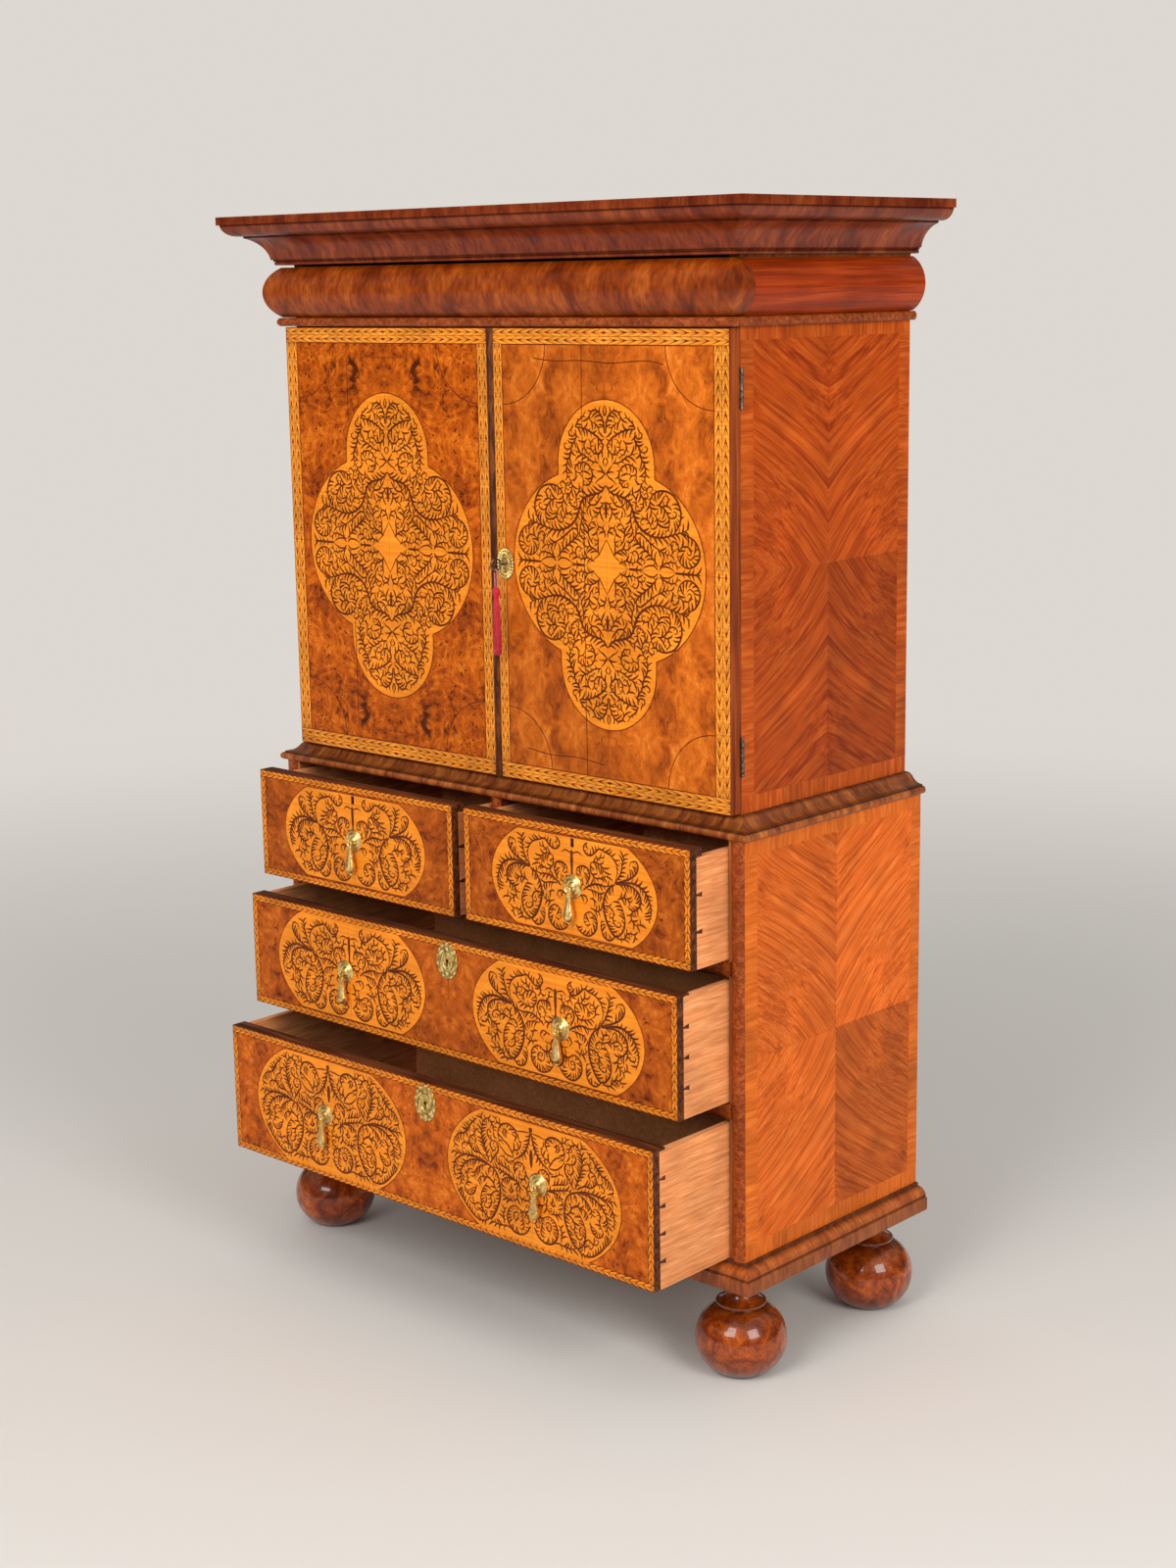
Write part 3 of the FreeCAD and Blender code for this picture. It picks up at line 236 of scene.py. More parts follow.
def cut_pieces(name, sets, seat, proud, finish, body, step=0.0):
    """Flat pieces let into a face. Each set is (strips, tone, uv): strips[n, station, side] are the points of
    n strips' two edges in mm along the face's two axes, joined station by station; the face's own plane is
    the underside, and the top stands proud (mm) of it, so each strip is a closed slab. Each strip of a set is
    a step (mm) higher than the last, so that strips can cross. Tone and uv spread over the points; uv may be
    left out."""
    origin, along, up = (np.array(v, float) for v in seat)
    outward = np.cross(along, up)
    points, quads, tones, uvs, count = [], [], [], [], 0
    for strips, tone, uv in sets:
        n, s = strips.shape[:2]
        flat = strips / 1000
        low = origin + flat[..., :1] * along + flat[..., 1:] * up
        rise = (proud + step * np.arange(n))[:, None, None, None] / 1000
        points.append(np.stack([low, low + outward * rise], 3).reshape(-1, 3))
        k = count + np.arange(n * s * 4).reshape(n, s, 2, 2)
        a, b = k[:, :-1], k[:, 1:]
        first, last = k[:, :1], k[:, -1:]
        for corners in (
            (a[..., 1, 1], b[..., 1, 1], b[..., 0, 1], a[..., 0, 1]),
            (a[..., 0, 0], b[..., 0, 0], b[..., 1, 0], a[..., 1, 0]),
            (a[..., 1, 0], b[..., 1, 0], b[..., 1, 1], a[..., 1, 1]),
            (a[..., 0, 1], b[..., 0, 1], b[..., 0, 0], a[..., 0, 0]),
            (first[..., 0, 0], first[..., 1, 0], first[..., 1, 1], first[..., 0, 1]),
            (last[..., 1, 0], last[..., 0, 0], last[..., 0, 1], last[..., 1, 1]),
        ):
            quads.append(np.stack(corners, -1).reshape(-1, 4))
        shape = (n, s, 2, 2)
        tone = np.asarray(tone, float)
        tone = tone.reshape(tone.shape + (1,) * (3 - tone.ndim))
        tones.append(np.broadcast_to(tone[..., None], shape).ravel())
        uv = flat if uv is None else uv
        uvs.append(np.broadcast_to(uv[:, :, :, None], shape + (2,)).reshape(-1, 2))
        count += n * s * 4
    quads = np.concatenate(quads)
    made = piece(name, np.concatenate(points), quads, np.concatenate(tones), finish, body)
    grain = np.concatenate(uvs)[quads.ravel()].astype(np.float32)
    made.data.uv_layers.new(name="grain").data.foreach_set("uv", grain.ravel())


def rectangle(x0, x1, z0, z1):
    """One strip that fills a rectangle: two stations, from the left edge to the right."""
    return np.array([[[[x0, z1], [x0, z0]], [[x1, z1], [x1, z0]]]], float)


def quartered(y0, y1, z0, z1, middle, slant, sheen_tints, seam=0.25):
    """Four leaves round a cross seam. In each, the grain follows the line whose height over the seam grows by
    slant for each step away from the upright seam; u runs along that line and v across it, mirrored from leaf
    to leaf."""
    yc, zc = middle
    away = np.array([1, slant]) / np.hypot(1, slant)
    across = np.array([-away[1], away[0]])
    sets = []
    # Each leaf's tint is a painted sheen: the matched leaves catch the light differently, so the quarters are
    # painted lighter and darker in turn.
    for tint, (a, b, c, d) in zip(
        sheen_tints,
        (
            (y0, yc - seam, zc + seam, z1),
            (yc + seam, y1, zc + seam, z1),
            (y0, yc - seam, z0, zc - seam),
            (yc + seam, y1, z0, zc - seam),
        ),
    ):
        leaf = rectangle(a, b, c, d)
        from_seam = np.abs(leaf - [yc, zc]) / 1000
        uv = np.stack([from_seam @ away, from_seam @ across], -1)
        sets.append((leaf, tint, uv))
    return sets


def crossbanded(x0, x1, z0, z1, widths, chance, length=95, seam=0.2):
    """A border of short strips round a rectangle, their grain across the border: u runs from the edge inward,
    v along it, shifted by chance from strip to strip. The upright borders stop against the level ones."""
    front, top, back, bottom = widths
    sets = []
    for a, b, c, d, level in (
        (x0, x1, z1 - top, z1, True),
        (x0, x1, z0, z0 + bottom, True),
        (x0, x0 + front, z0 + bottom + seam, z1 - top - seam, False),
        (x1 - back, x1, z0 + bottom + seam, z1 - top - seam, False),
    ):
        long = (b - a) if level else (d - c)
        joints = np.linspace(0, long, max(round(long / length), 1) + 1)
        joints[1:-1] += chance.uniform(-22, 22, len(joints) - 2)
        for start, end in zip(joints[:-1], joints[1:]):
            end -= seam
            box = (a + start, a + end, c, d) if level else (a, b, c + start, c + end)
            slip = rectangle(*box)
            uv = slip / 1000 + chance.uniform(0, 3, 2)
            sets.append((slip, chance.uniform(-0.12, 0.12), uv[..., ::-1] if level else uv))
    return sets


def veneered_sides(case, foot, top, borders, middle, slant, sheen_tints, finishes, seed):
    """Both sides of a case, veneered from foot to top. The layout is the right side's, measured back from its
    front edge: border widths (front, top, back, bottom), place of the cross seam, and leaf tones, a painted sheen
    that makes the matched leaves lighter and darker, from the upper front one on. The left side is its mirror
    image, measured forward from the back edge."""
    for hand, side in ((1, "right"), (-1, "left")):
        low, high = (np.array(v) * 1000 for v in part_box(f"{case}_side_{side}"))
        depth, across = high[1] - low[1], middle[0]
        corner = np.array([high[0], low[1], 0]) / 1000
        if hand < 0:
            corner, across = np.array([low[0], high[1], 0]) / 1000, depth - across
            borders, sheen_tints = [borders[i] for i in (2, 1, 0, 3)], [sheen_tints[i] for i in (1, 0, 3, 2)]
        seat = (corner, (0, hand, 0), (0, 0, 1))
        inner = (borders[0], depth - borders[2], foot + borders[3], top - borders[1])
        leaves = quartered(*inner, (across, middle[1]), slant, sheen_tints)
        cut_pieces(f"{case}_side_{side}_veneer", leaves, seat, 0.25, finishes[0], "carcase")
        edging = crossbanded(0, depth, foot, top, borders, np.random.default_rng(seed))
        cut_pieces(f"{case}_side_{side}_border", edging, seat, 0.25, finishes[1], "carcase")


# Walnut veneer of the sides: quarter-cut, orange-red under old polish, with soft swaying stripes
# about 8 mm apart and a satin shine. The cross-grain border is a quieter cut of the same wood.
chest_veneer = timber(
    "walnut_veneer_chest", ("#B84E0E", "#DA6418", "#EA782C"), ring=8, run=280, fibre=0.5, gloss=0.36,
    level=0.12, swirl=1.0, sway=130,
)
border_veneer = timber(
    "walnut_crossbanding", ("#C45A12", "#D46618", "#E27628"), ring=7, run=70, fibre=0.3, gloss=0.36,
    level=0.12, swirl=0.6,
)
base_top, waist_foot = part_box("base_moulding")[1].z * 1000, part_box("waist_moulding")[0].z * 1000
# The leaf tints are a painted sheen: quarters painted lighter and darker in turn.
veneered_sides(
    "chest", base_top, waist_foot, borders=(30, 24, 26, 28), middle=(230, 530), slant=0.72,
    sheen_tints=(-0.05, 0.16, 0.06, -0.28), finishes=(chest_veneer, border_veneer), seed=3,
)


# Mouldings of the chest. Base and waist mouldings are cross-grain walnut glued to pine cores in
# three mitred lengths; the half-round beads round the drawer openings are the same, nailed on.
def crossgrain(name, tones, half, front, ring, bands, along=70, level=0.18, gloss=0.34):
    """Cross-grain walnut on a mitred moulding. Past the mitre, where a point stands further out to the side than
    to the front, the pattern runs along y, and before it along x; ring (mm) is its spacing along the moulding.
    Bands are (z in mm, factor) stops: dark in the quirks, partly wax and partly painted shade, and light on the
    edges and rounds, partly wear and partly painted highlight. The last is the dusty top, where the shine stops."""
    made, tree, shader = finish_of(name, Specular_IOR_Level=level, Coat_Roughness=0.18)
    place = add(tree, "TexCoord")["Object"]
    parts = add(tree, "SeparateXYZ", {"Vector": place})
    reach = add(tree, "Math", {0: parts["X"]}, operation="ABSOLUTE")[0]
    out = add(tree, "Math", {0: reach, 1: half / 1000}, operation="SUBTRACT")[0]
    fore = add(tree, "Math", {0: front / 1000, 1: parts["Y"]}, operation="SUBTRACT")[0]
    side = add(tree, "Math", {0: out, 1: fore}, operation="GREATER_THAN")[0]
    run = add(tree, "Mix", {0: side, 2: parts["X"], 3: parts["Y"]}, data_type="FLOAT")[0]
    off = add(tree, "Mix", {0: side, 2: parts["Y"], 3: parts["X"]}, data_type="FLOAT")[0]
    turned = add(tree, "CombineXYZ", {"X": run, "Y": off, "Z": parts["Z"]})["Vector"]
    scale = (1000 / ring, 1000 / along, 1000 / along)
    bent = add(tree, "Mapping", {"Vector": turned, "Scale": scale})["Vector"]
    finer = (5000 / ring, 1000 / 18, 1000 / 18)
    fine = add(tree, "Mapping", {"Vector": turned, "Scale": finer})["Vector"]
    drawn = {"Vector": bent, "Scale": 1.0, "Detail": 4.0, "Roughness": 0.6, "Distortion": 0.4}
    broad = add(tree, "TexNoise", drawn)["Fac"]
    hairs = add(tree, "TexNoise", {"Vector": fine, "Scale": 1.0, "Detail": 2.0})["Fac"]
    spots = ((0.33, tones[0]), (0.5, tones[1]), (0.68, tones[2]))
    colour = add(tree, "ValToRGB", {"Fac": broad}, stops=spots)["Color"]
    dark = add(tree, "ValToRGB", {"Fac": hairs}, stops=((0.34, "#9A8070"), (0.6, "#FFFFFF")))["Color"]
    lined = add(tree, "Mix", {0: 0.5, 6: colour, 7: dark}, data_type="RGBA", blend_type="MULTIPLY")[2]
    # The bands paint shade into the quirks and highlight on the rounds and arrises, over the wax and wear there.
    tree.links.new(wear_and_shade_by_height(tree, parts["Z"], lined, bands), shader.inputs["Base Color"])
    rough = textured(tree, shader, hairs, gloss + 0.1, gloss - 0.06, 0.06)
    top = bands[-1][0] / 1000
    settled = {"Value": parts["Z"], "From Min": top - 0.0006, "From Max": top - 0.0002}
    dust = add(tree, "MapRange", settled)["Result"]
    dull = add(tree, "Mix", {0: dust, 2: rough, 3: 0.95}, data_type="FLOAT")[0]
    tree.links.new(dull, shader.inputs["Roughness"])
    wax = add(tree, "Mix", {0: dust, 2: 0.2, 3: 0.0}, data_type="FLOAT")[0]
    tree.links.new(wax, shader.inputs["Coat Weight"])
    return made


# Cross-grain walnut: short grain across the moulding, so it is striped every few mm along its length; the bands
# make it dark in the quirks, partly where wax gathers and partly painted shade, and pale on the arrises, partly
# wear and partly painted highlight.
chest_mitre = (525, -129.5)
base_bands = (
    *((157, 0.75), (160, 0.92), (178, 0.92), (180, 1.1), (181.5, 0.35), (183.5, 0.35), (185, 1.1), (192, 1.3)),
    *((196, 0.95), (198.5, 0.3), (202, 0.4)),
)
base_walnut = crossgrain(
    "crossgrain_walnut_base", ("#86401A", "#9C4E1E", "#B26028"), *chest_mitre, ring=16, bands=base_bands
)
waist_bands = (
    *((877, 0.7), (880, 1.1), (886, 1.25), (888.3, 0.9), (889, 0.35), (891.5, 0.4), (892.5, 0.8), (899, 0.8)),
    *((903, 0.95), (906, 0.85), (908, 0.5), (909, 0.4)),
)
waist_walnut = crossgrain(
    "crossgrain_walnut_waist", ("#6A3012", "#944C1E", "#BA6A2E"), *chest_mitre, ring=18, bands=waist_bands
)
bead_walnut = timber(
    "crossgrain_walnut_beads", ("#7A320E", "#944218", "#B05A26"), ring=7, run=9, along="X", fibre=0.5,
    gloss=0.38, level=0.18, swirl=0.8,
)
dress(base_walnut, "base_moulding")
dress(waist_walnut, "waist_moulding")
dress(bead_walnut, "chest_front_beads", "frieze_bead")


# Drawers. Oak linings dovetailed to walnut-faced fronts; each front has burr walnut round oval
# panels of marquetry, a feather banding of slanted leaves, and dark stringing at the edges.
def burr(name, tones, blotch, eyes, grain=1.0, flock=0.5, knots=(), gloss=0.32):
    """Burr walnut on the piece's UV map, in metres: two sizes of noise, bent by a slower one, give the curly
    figure; Voronoi cells under a clustering noise, which starts at flock, give the dark eyes. Grain below 1
    draws the figure out along v. Knots are dark clouds (u, v, radius): distance over radius, frayed by the
    curls, fading out past 1."""
    made, tree, shader = finish_of(name, Specular_IOR_Level=0.12)
    place = add(tree, "TexCoord")["UV"]
    slow = add(tree, "TexNoise", {"Vector": place, "Scale": 1000 / 55, "Detail": 2.0})["Color"]
    push = add(tree, "VectorMath", {0: slow, 1: (0.5, 0.5, 0.5)}, operation="SUBTRACT")["Vector"]
    sway = add(tree, "VectorMath", {0: push, "Scale": 0.045}, operation="SCALE")["Vector"]
    bent = add(tree, "VectorMath", {0: place, 1: sway}, operation="ADD")["Vector"]
    drawn = add(tree, "Mapping", {"Vector": bent, "Scale": (1, grain, 1)})["Vector"]
    small = {"Vector": drawn, "Scale": 1000 / 16, "Detail": 6.0, "Roughness": 0.74}
    curl = add(tree, "TexNoise", small)["Fac"]
    large = {"Vector": drawn, "Scale": 1000 / 70, "Detail": 3.0, "Distortion": 0.6}
    cloud = add(tree, "TexNoise", large)["Fac"]
    both = add(tree, "Mix", {0: blotch, 2: curl, 3: cloud}, data_type="FLOAT")[0]
    spots = ((0.36, tones[0]), (0.45, tones[1]), (0.54, tones[2]), (0.65, tones[3]))
    colour = add(tree, "ValToRGB", {"Fac": both}, stops=spots)["Color"]
    eye = add(tree, "TexVoronoi", {"Vector": drawn, "Scale": 1000 / 11, "Randomness": 1.0})["Distance"]
    frayed = add(tree, "Math", {0: curl, 1: 0.5, 2: eye}, operation="MULTIPLY_ADD")[0]
    ring = add(tree, "ValToRGB", {"Fac": frayed}, stops=((0.38, "#FFFFFF"), (0.54, "#000000")))["Color"]
    where = add(tree, "TexNoise", {"Vector": place, "Scale": 1000 / 48, "Detail": 1.0})["Fac"]
    crowd = add(tree, "MapRange", {"Value": where, "From Min": flock, "From Max": flock + 0.12})["Result"]
    dark = add(tree, "Math", {0: ring, 1: crowd}, operation="MULTIPLY")[0]
    dark = add(tree, "Math", {0: dark, 1: eyes}, operation="MULTIPLY")[0]
    for u, v, radius in knots:
        far = add(tree, "VectorMath", {0: place, 1: (u, v, 0)}, operation="DISTANCE")["Value"]
        far = add(tree, "Math", {0: far, 1: 1 / radius, 2: -3.5}, operation="MULTIPLY_ADD")[0]
        far = add(tree, "Math", {0: curl, 1: 7.0, 2: far}, operation="MULTIPLY_ADD")[0]
        knot = add(tree, "MapRange", {"Value": far, "From Min": 1.2, "From Max": 0.2, "To Max": 0.8})["Result"]
        dark = add(tree, "Math", {0: dark, 1: knot}, operation="MAXIMUM")[0]
    eyed = add(tree, "Mix", {0: dark, 6: colour, 7: ink("#3A1404")}, data_type="RGBA")[2]
    tinted(tree, shader, eyed)
    textured(tree, shader, curl, gloss + 0.12, gloss - 0.06, 0.04)
    return made


def scroll_line(points):
    """A smooth line through given points: the Catmull-Rom cubic between neighbours, evened out so that its
    stations are equally far apart, about 1.5 mm."""
    p = np.asarray(points, float)
    p = np.vstack([2 * p[0] - p[1], p, 2 * p[-1] - p[-2]])
    t = np.linspace(0, len(points) - 1, 14 * len(points))
    i = np.minimum(t.astype(int), len(points) - 2)
    f = (t - i)[:, None]
    a, b, c, d = p[i], p[i + 1], p[i + 2], p[i + 3]
    line = b + 0.5 * f * (c - a + f * (2 * a - 5 * b + 4 * c - d + f * (3 * b - a - 3 * c + d)))
    run = np.concatenate([[0], np.cumsum(np.hypot(*np.diff(line, axis=0).T))])
    even = np.linspace(0, run[-1], max(int(run[-1] / 1.5), 3))
    return np.stack([np.interp(even, run, line[:, i]) for i in (0, 1)], 1)


def heading(line):
    """The angle of a line at each of its stations, unwound so that it doesn't jump."""
    way = np.gradient(line, axis=0)
    return np.unwrap(np.arctan2(way[:, 1], way[:, 0]))


def walked(start, angles):
    """A line of 1 mm steps from a start, each step along its own angle."""
    return start + np.cumsum(np.stack([np.cos(angles), np.sin(angles)], -1), 0)


def nearest(spots, others):
    """How far each spot is from the closest of the others."""
    return np.linalg.norm(spots[:, None] - others, axis=2).min(1)


def strip(line, half):
    """A strip's two edges: each station of its line, pushed out to both sides by its half width."""
    way = np.gradient(line, axis=-2)
    way /= np.linalg.norm(way, axis=-1, keepdims=True) + 1e-9
    left = np.stack([-way[..., 1], way[..., 0]], -1) * np.asarray(half)[..., None]
    return np.stack([line + left, line - left], -2)


def shoots(lines, room, void):
    """Side shoots for bare ground. While some spot has no stem within void, one grows to it from the stem
    that leads there best: a circular arc that leaves along the stem and passes through the spot, then turns
    ever tighter into a curl. It stops short of other stems and of the edge. Room gives how far inside the
    edge each spot lies."""
    # Spacing of the spots, how near a shoot comes to stems and to the edge, its first steps, which are
    # free of that, and the shortest one, in mm; then the best and the steepest lean from the stem.
    grid, shy, edge, free, least = 3.0, 4, 1, 7, 9
    slant, steep = 0.7, 1.5
    spots = np.stack(np.meshgrid(np.arange(1, 190, grid), np.arange(-106, 250, grid)), -1).reshape(-1, 2)
    spots = spots[room(spots) > grid]
    stations = np.vstack([line[2:-1] for line in lines])
    angles = np.concatenate([heading(line)[2:-1] for line in lines])
    clear = np.minimum(nearest(spots, stations), np.minimum(room(spots), spots[:, 0]) + shy)
    grown = []
    while clear.max() > void:
        at = clear.argmax()
        away = spots[at] - stations
        far = np.hypot(*away.T)
        lean = (np.arctan2(away[:, 1], away[:, 0]) - angles + np.pi) % (2 * np.pi) - np.pi
        best = (far + 14 * np.abs(np.abs(lean) - slant) + 200 * (np.abs(lean) > steep)).argmin()
        lean = lean[best]
        arc = far[best] * lean / np.sin(lean)
        tail = 1.5 * clear[at]
        s = np.arange(0, arc + tail)
        bend = 2 * lean / arc + np.sign(lean) * 0.28 * np.maximum(s - arc, 0) / tail
        line = walked(stations[best], angles[best] + np.cumsum(bend))
        shut = (nearest(line, stations) < shy) | (room(line) < edge) | (line[:, 0] < edge)
        shut[:free] = False
        line = line[: shut.argmax() if shut.any() else None]
        if len(line) > least:
            grown.append(line)
            stations = np.vstack([stations, line[2:-1]])
            angles = np.append(angles, heading(line)[2:-1])
            clear = np.minimum(clear, nearest(spots, line))
        clear[np.hypot(*(spots - spots[at]).T) < shy] *= 0.8
    return grown


def sprigs(stems, room, chance, pitch, longest, stout):
    """Leaves on stems of (leaf sides, line): one every pitch on the inside, outside or both sides of the
    turn. A leaf leaves at a slant, more where the stem bends after it, curves away from the stem, swells to
    stout times its length on either hand and closes to a point; it is cut short where it would meet a stem,
    another leaf or the edge, and left out if that makes it a stub."""
    # How far the first leaf is from the root and the last from the tip, how clear a leaf keeps of others,
    # of the stem beside its own root and of the edge, and the shortest one, in mm.
    first, last, apart, own, edge, least = 4, 1.5, 1.3 + 9 * stout, 6.5, 0.5, 4.5
    taken = np.vstack([line for sides, line in stems])
    owner = np.repeat(np.arange(len(stems)), [len(line) for sides, line in stems])
    found = []
    for i, (sides, line) in enumerate(stems):
        run = np.concatenate([[0], np.cumsum(np.hypot(*np.diff(line, axis=0).T))])
        angle = heading(line)
        turn = 1 if angle[-1] >= angle[0] else -1
        for hand in {"in": (turn,), "out": (-turn,), "both": (turn, -turn), "": ()}[sides]:
            for at in np.arange(first if hand > 0 else first + pitch / 2, run[-1] - last, pitch):
                at += chance.uniform(-0.8, 0.8)
                root = np.array([np.interp(at, run, line[:, j]) for j in (0, 1)])
                here, on = np.interp([at, at + 8], run, angle)
                start = here + hand * (chance.uniform(0.45, 0.65) + 0.85 * max(hand * (on - here), 0))
                bend = hand * chance.uniform(0.5, 1.3)
                long = longest * chance.uniform(0.65, 1.0)
                path = walked(root, start + bend * np.arange(0, long) / long)
                other = taken[(owner != i) | (np.hypot(*(taken - root).T) > own)]
                shut = (nearest(path, other) < apart) | (room(path) < edge) | (path[:, 0] < 0.8)
                shut[:3] = False
                long = float(shut.argmax()) if shut.any() else long
                if long >= least:
                    found.append((*root, start, bend, long))
                    taken = np.vstack([taken, path[1 : int(long) : 2]])
                    owner = np.append(owner, np.full(len(taken) - len(owner), -1))
    x, z, start, bend, long = np.array(found).T
    angle = start[:, None] + bend[:, None] * np.linspace(0, 1, 6)
    step = long[:, None, None] / 5 * np.stack([np.cos(angle), np.sin(angle)], -1)
    line = np.stack([x, z], -1)[:, None] + np.cumsum(step, 1) - step
    swell = np.array([0.65, 0.9, 1.0, 0.9, 0.6, 0.1])
    return strip(line, np.clip(stout * long, 0.85, 1.75)[:, None] * swell)


def seaweed(strokes, room, chance, void, pitch, longest, stout):
    """Seaweed scrolls, in mm. Each stroke is (width, leaf sides, points): a stem along its smooth line, full
    at the root and thin at the tip. Shoots fill the bare ground, and all stems carry leaves. Gives strips of
    stems and of leaves, cut off at the line x = 0.1 that they are mirrored about."""
    stems = [(width, sides, scroll_line(points)) for width, sides, points in strokes]
    grown = shoots([line for width, sides, line in stems], room, void)
    stems += [(2.0, "both", line) for line in grown]
    s = np.linspace(0, 1, 24)
    strips = []
    for width, sides, line in stems:
        at = s * (len(line) - 1)
        even = np.stack([np.interp(at, np.arange(len(line)), line[:, j]) for j in (0, 1)], 1)
        strips.append(strip(even, 0.6 * width * (0.3 + 0.85 * np.sin(np.pi * (0.2 + 0.78 * s)))))
    leaves = sprigs([stem[1:] for stem in stems], room, chance, pitch, longest, stout)
    return [np.maximum(found, [0.1, -999]) for found in (np.stack(strips), leaves)]


def oval_room(spots, wide, high, drop, top, foot):
    """How far spots lie inside an oval panel's edge, less a plain margin of 4 mm: the least of the distances
    to the ellipse, which is centred drop above the middle, and to the flat top and foot that cut it."""
    x, z = spots.T
    ring = (1 - np.hypot(x / wide, (z - drop) / high)) * high
    return np.minimum(np.minimum(ring, top - z), z - foot) - 4


def mirrored(strips, flip):
    """The same pieces cut in reverse: one or both coordinates negated, with the edges of a strip swapped when
    that turns it over, so that its faces still point out."""
    turned = strips * np.array(flip, float)
    return turned[:, :, ::-1] if flip[0] * flip[1] < 0 else turned


def feathered(start, end, half, chance, pitch, centre, gap=0.8):
    """A run of feather banding from start to end: pointed leaves in rows one pitch long. In the middle of the
    band, out to centre, each row is two half leaves that meet in a forward point; beyond that, side leaves
    curve forward and outward. The gaps between them leave the dark ground showing, and widen to darts beside
    the middle leaf."""
    start, end = np.array(start, float), np.array(end, float)
    long = np.linalg.norm(end - start)
    ahead = (end - start) / long
    aside = np.array([-ahead[1], ahead[0]])
    pitch = long / max(round(long / pitch), 1)
    row = np.arange(-1, round(long / pitch))[:, None] * pitch
    f = np.linspace(0, 1, 4)
    point = 0.55 * pitch * (1 - f**1.3)
    dart = pitch * np.array([0, 0.02, 0.12, 0.3])
    sets = []
    for hand in (1, -1):
        columns = [(0.4 + f * (centre - 0.4), point, point + pitch - dart)]
        if half > centre + 2:
            flare = 0.05 * pitch + 0.62 * pitch * f**1.2
            opening = pitch * np.array([0.4, 0.2, 0.05, 0.0])
            t = centre + 0.6 + f * (half - centre - 0.6)
            columns.append((t, flare, flare + pitch - opening))
        for t, low, high in columns:
            low, high = np.clip(row + low + gap / 2, 0, long), np.clip(row + high - gap / 2, 0, long)
            kept = (high - low).max(1) > 2
            low, high = low[kept], np.maximum(high, low + 0.05)[kept]
            across = np.broadcast_to(hand * t, low.shape)[..., None] * aside
            edges = [start + v[..., None] * ahead + across for v in (low, high)]
            edges = edges[::-1] if hand < 0 else edges
            shade = np.stack([0 * low - 0.3, 0 * high + 0.1], -1)
            shade = shade[..., ::-1] if hand < 0 else shade
            tint = chance.uniform(-0.12, 0.08, (len(low), 1, 1))
            sets.append((np.stack(edges, 2), shade + tint, None))
    return sets


def framed(x0, x1, z0, z1, *widths):
    """Four strips that run round a rectangle, just inside it; widths are one for all, or left, right, bottom
    and top."""
    left, right, low, high = widths if len(widths) == 4 else widths * 4
    a, b, c, d = x0 + left, x1 - right, z0 + low, z1 - high
    boxes = ((x0, x1, d, z1), (x0, x1, z0, c), (x0, a, c, d), (b, x1, c, d))
    return np.concatenate([rectangle(*box) for box in boxes])


def banding_runs(x0, x1, z0, z1, inner, middle, inset, gap):
    """The eight runs of a feather banding as (start, end, half width): along the middle of the border between
    the rectangle and the inner one, from each corner, less the inset, to the middle of the side, less the
    gap."""
    a, b, c, d = inner
    runs = []
    for half, z in (((z1 - d) / 2, (d + z1) / 2), ((c - z0) / 2, (z0 + c) / 2)):
        runs += [((x0 + inset, z), (middle[0] - gap, z), half), ((x1 - inset, z), (middle[0] + gap, z), half)]
    for half, x in (((a - x0) / 2, (x0 + a) / 2), ((x1 - b) / 2, (b + x1) / 2)):
        runs += [((x, c), (x, middle[1] - gap), half), ((x, d), (x, middle[1] + gap), half)]
    return runs


def marquetry(name, body, seat, layers):
    """Lays the layers of a front, each (layer, sets, finish), as pieces called after it. They stand out by
    the depths below (mm), and the strips of the scrolls climb a little from one to the next, as they
    cross."""
    proud = {"burr": 0.12, "band_ground": 0.14, "ovals": 0.16, "medallion": 0.16, "star": 0.2, "oval_lines": 0.22}
    proud |= {"leaves": 0.22, "banding": 0.24, "stringing": 0.26, "scrolls": 0.262}
    for layer, sets, finish in layers:
        step = 0.0015 if layer == "scrolls" else 0.0
        cut_pieces(f"{name}_{layer}", sets, seat, proud[layer], finish, body, step)


def round_hole(x0, x1, z0, z1, hole):
    """Strips that fill a rectangle but for a hole's box: to its left and right, below and above it."""
    a, b = np.clip(hole[:2], x0, x1)
    c, d = np.clip(hole[2:], z0, z1)
    boxes = ((x0, a, z0, z1), (b, x1, z0, z1), (a, b, z0, c), (a, b, d, z1))
    return np.concatenate([rectangle(*box) for box in boxes if min(box[1] - box[0], box[3] - box[2]) > 0.01])


# Oak linings: pale pinkish brown, riven and planed along the drawer, dry and dusty, so matt, with
# short dark flecks. The fronts' backs and edges are walnut darkened by handling and wax.
lining_oak = timber(
    "drawer_oak", ("#DE8C52", "#F09A5E", "#FAAC70"), ring=4.5, run=90, along="Y", fibre=0.5, gloss=0.7,
    level=0.15, swirl=0.3, relief=0.25,
)
# The bottoms are coloured far darker than the linings of the same oak: painted shade of the drawers' insides.
shaded_bottom_oak = timber(
    "drawer_bottom_oak", ("#5E2612", "#763218", "#8A4424"), ring=8, run=180, along="X", fibre=0.6,
    gloss=0.72, level=0.15, swirl=0.3, relief=0.2,
)
front_walnut = timber(
    "drawer_front_walnut", ("#3A1A0C", "#5A2E18", "#7A4626"), ring=8, run=150, along="X", fibre=0.6,
    gloss=0.5,
)
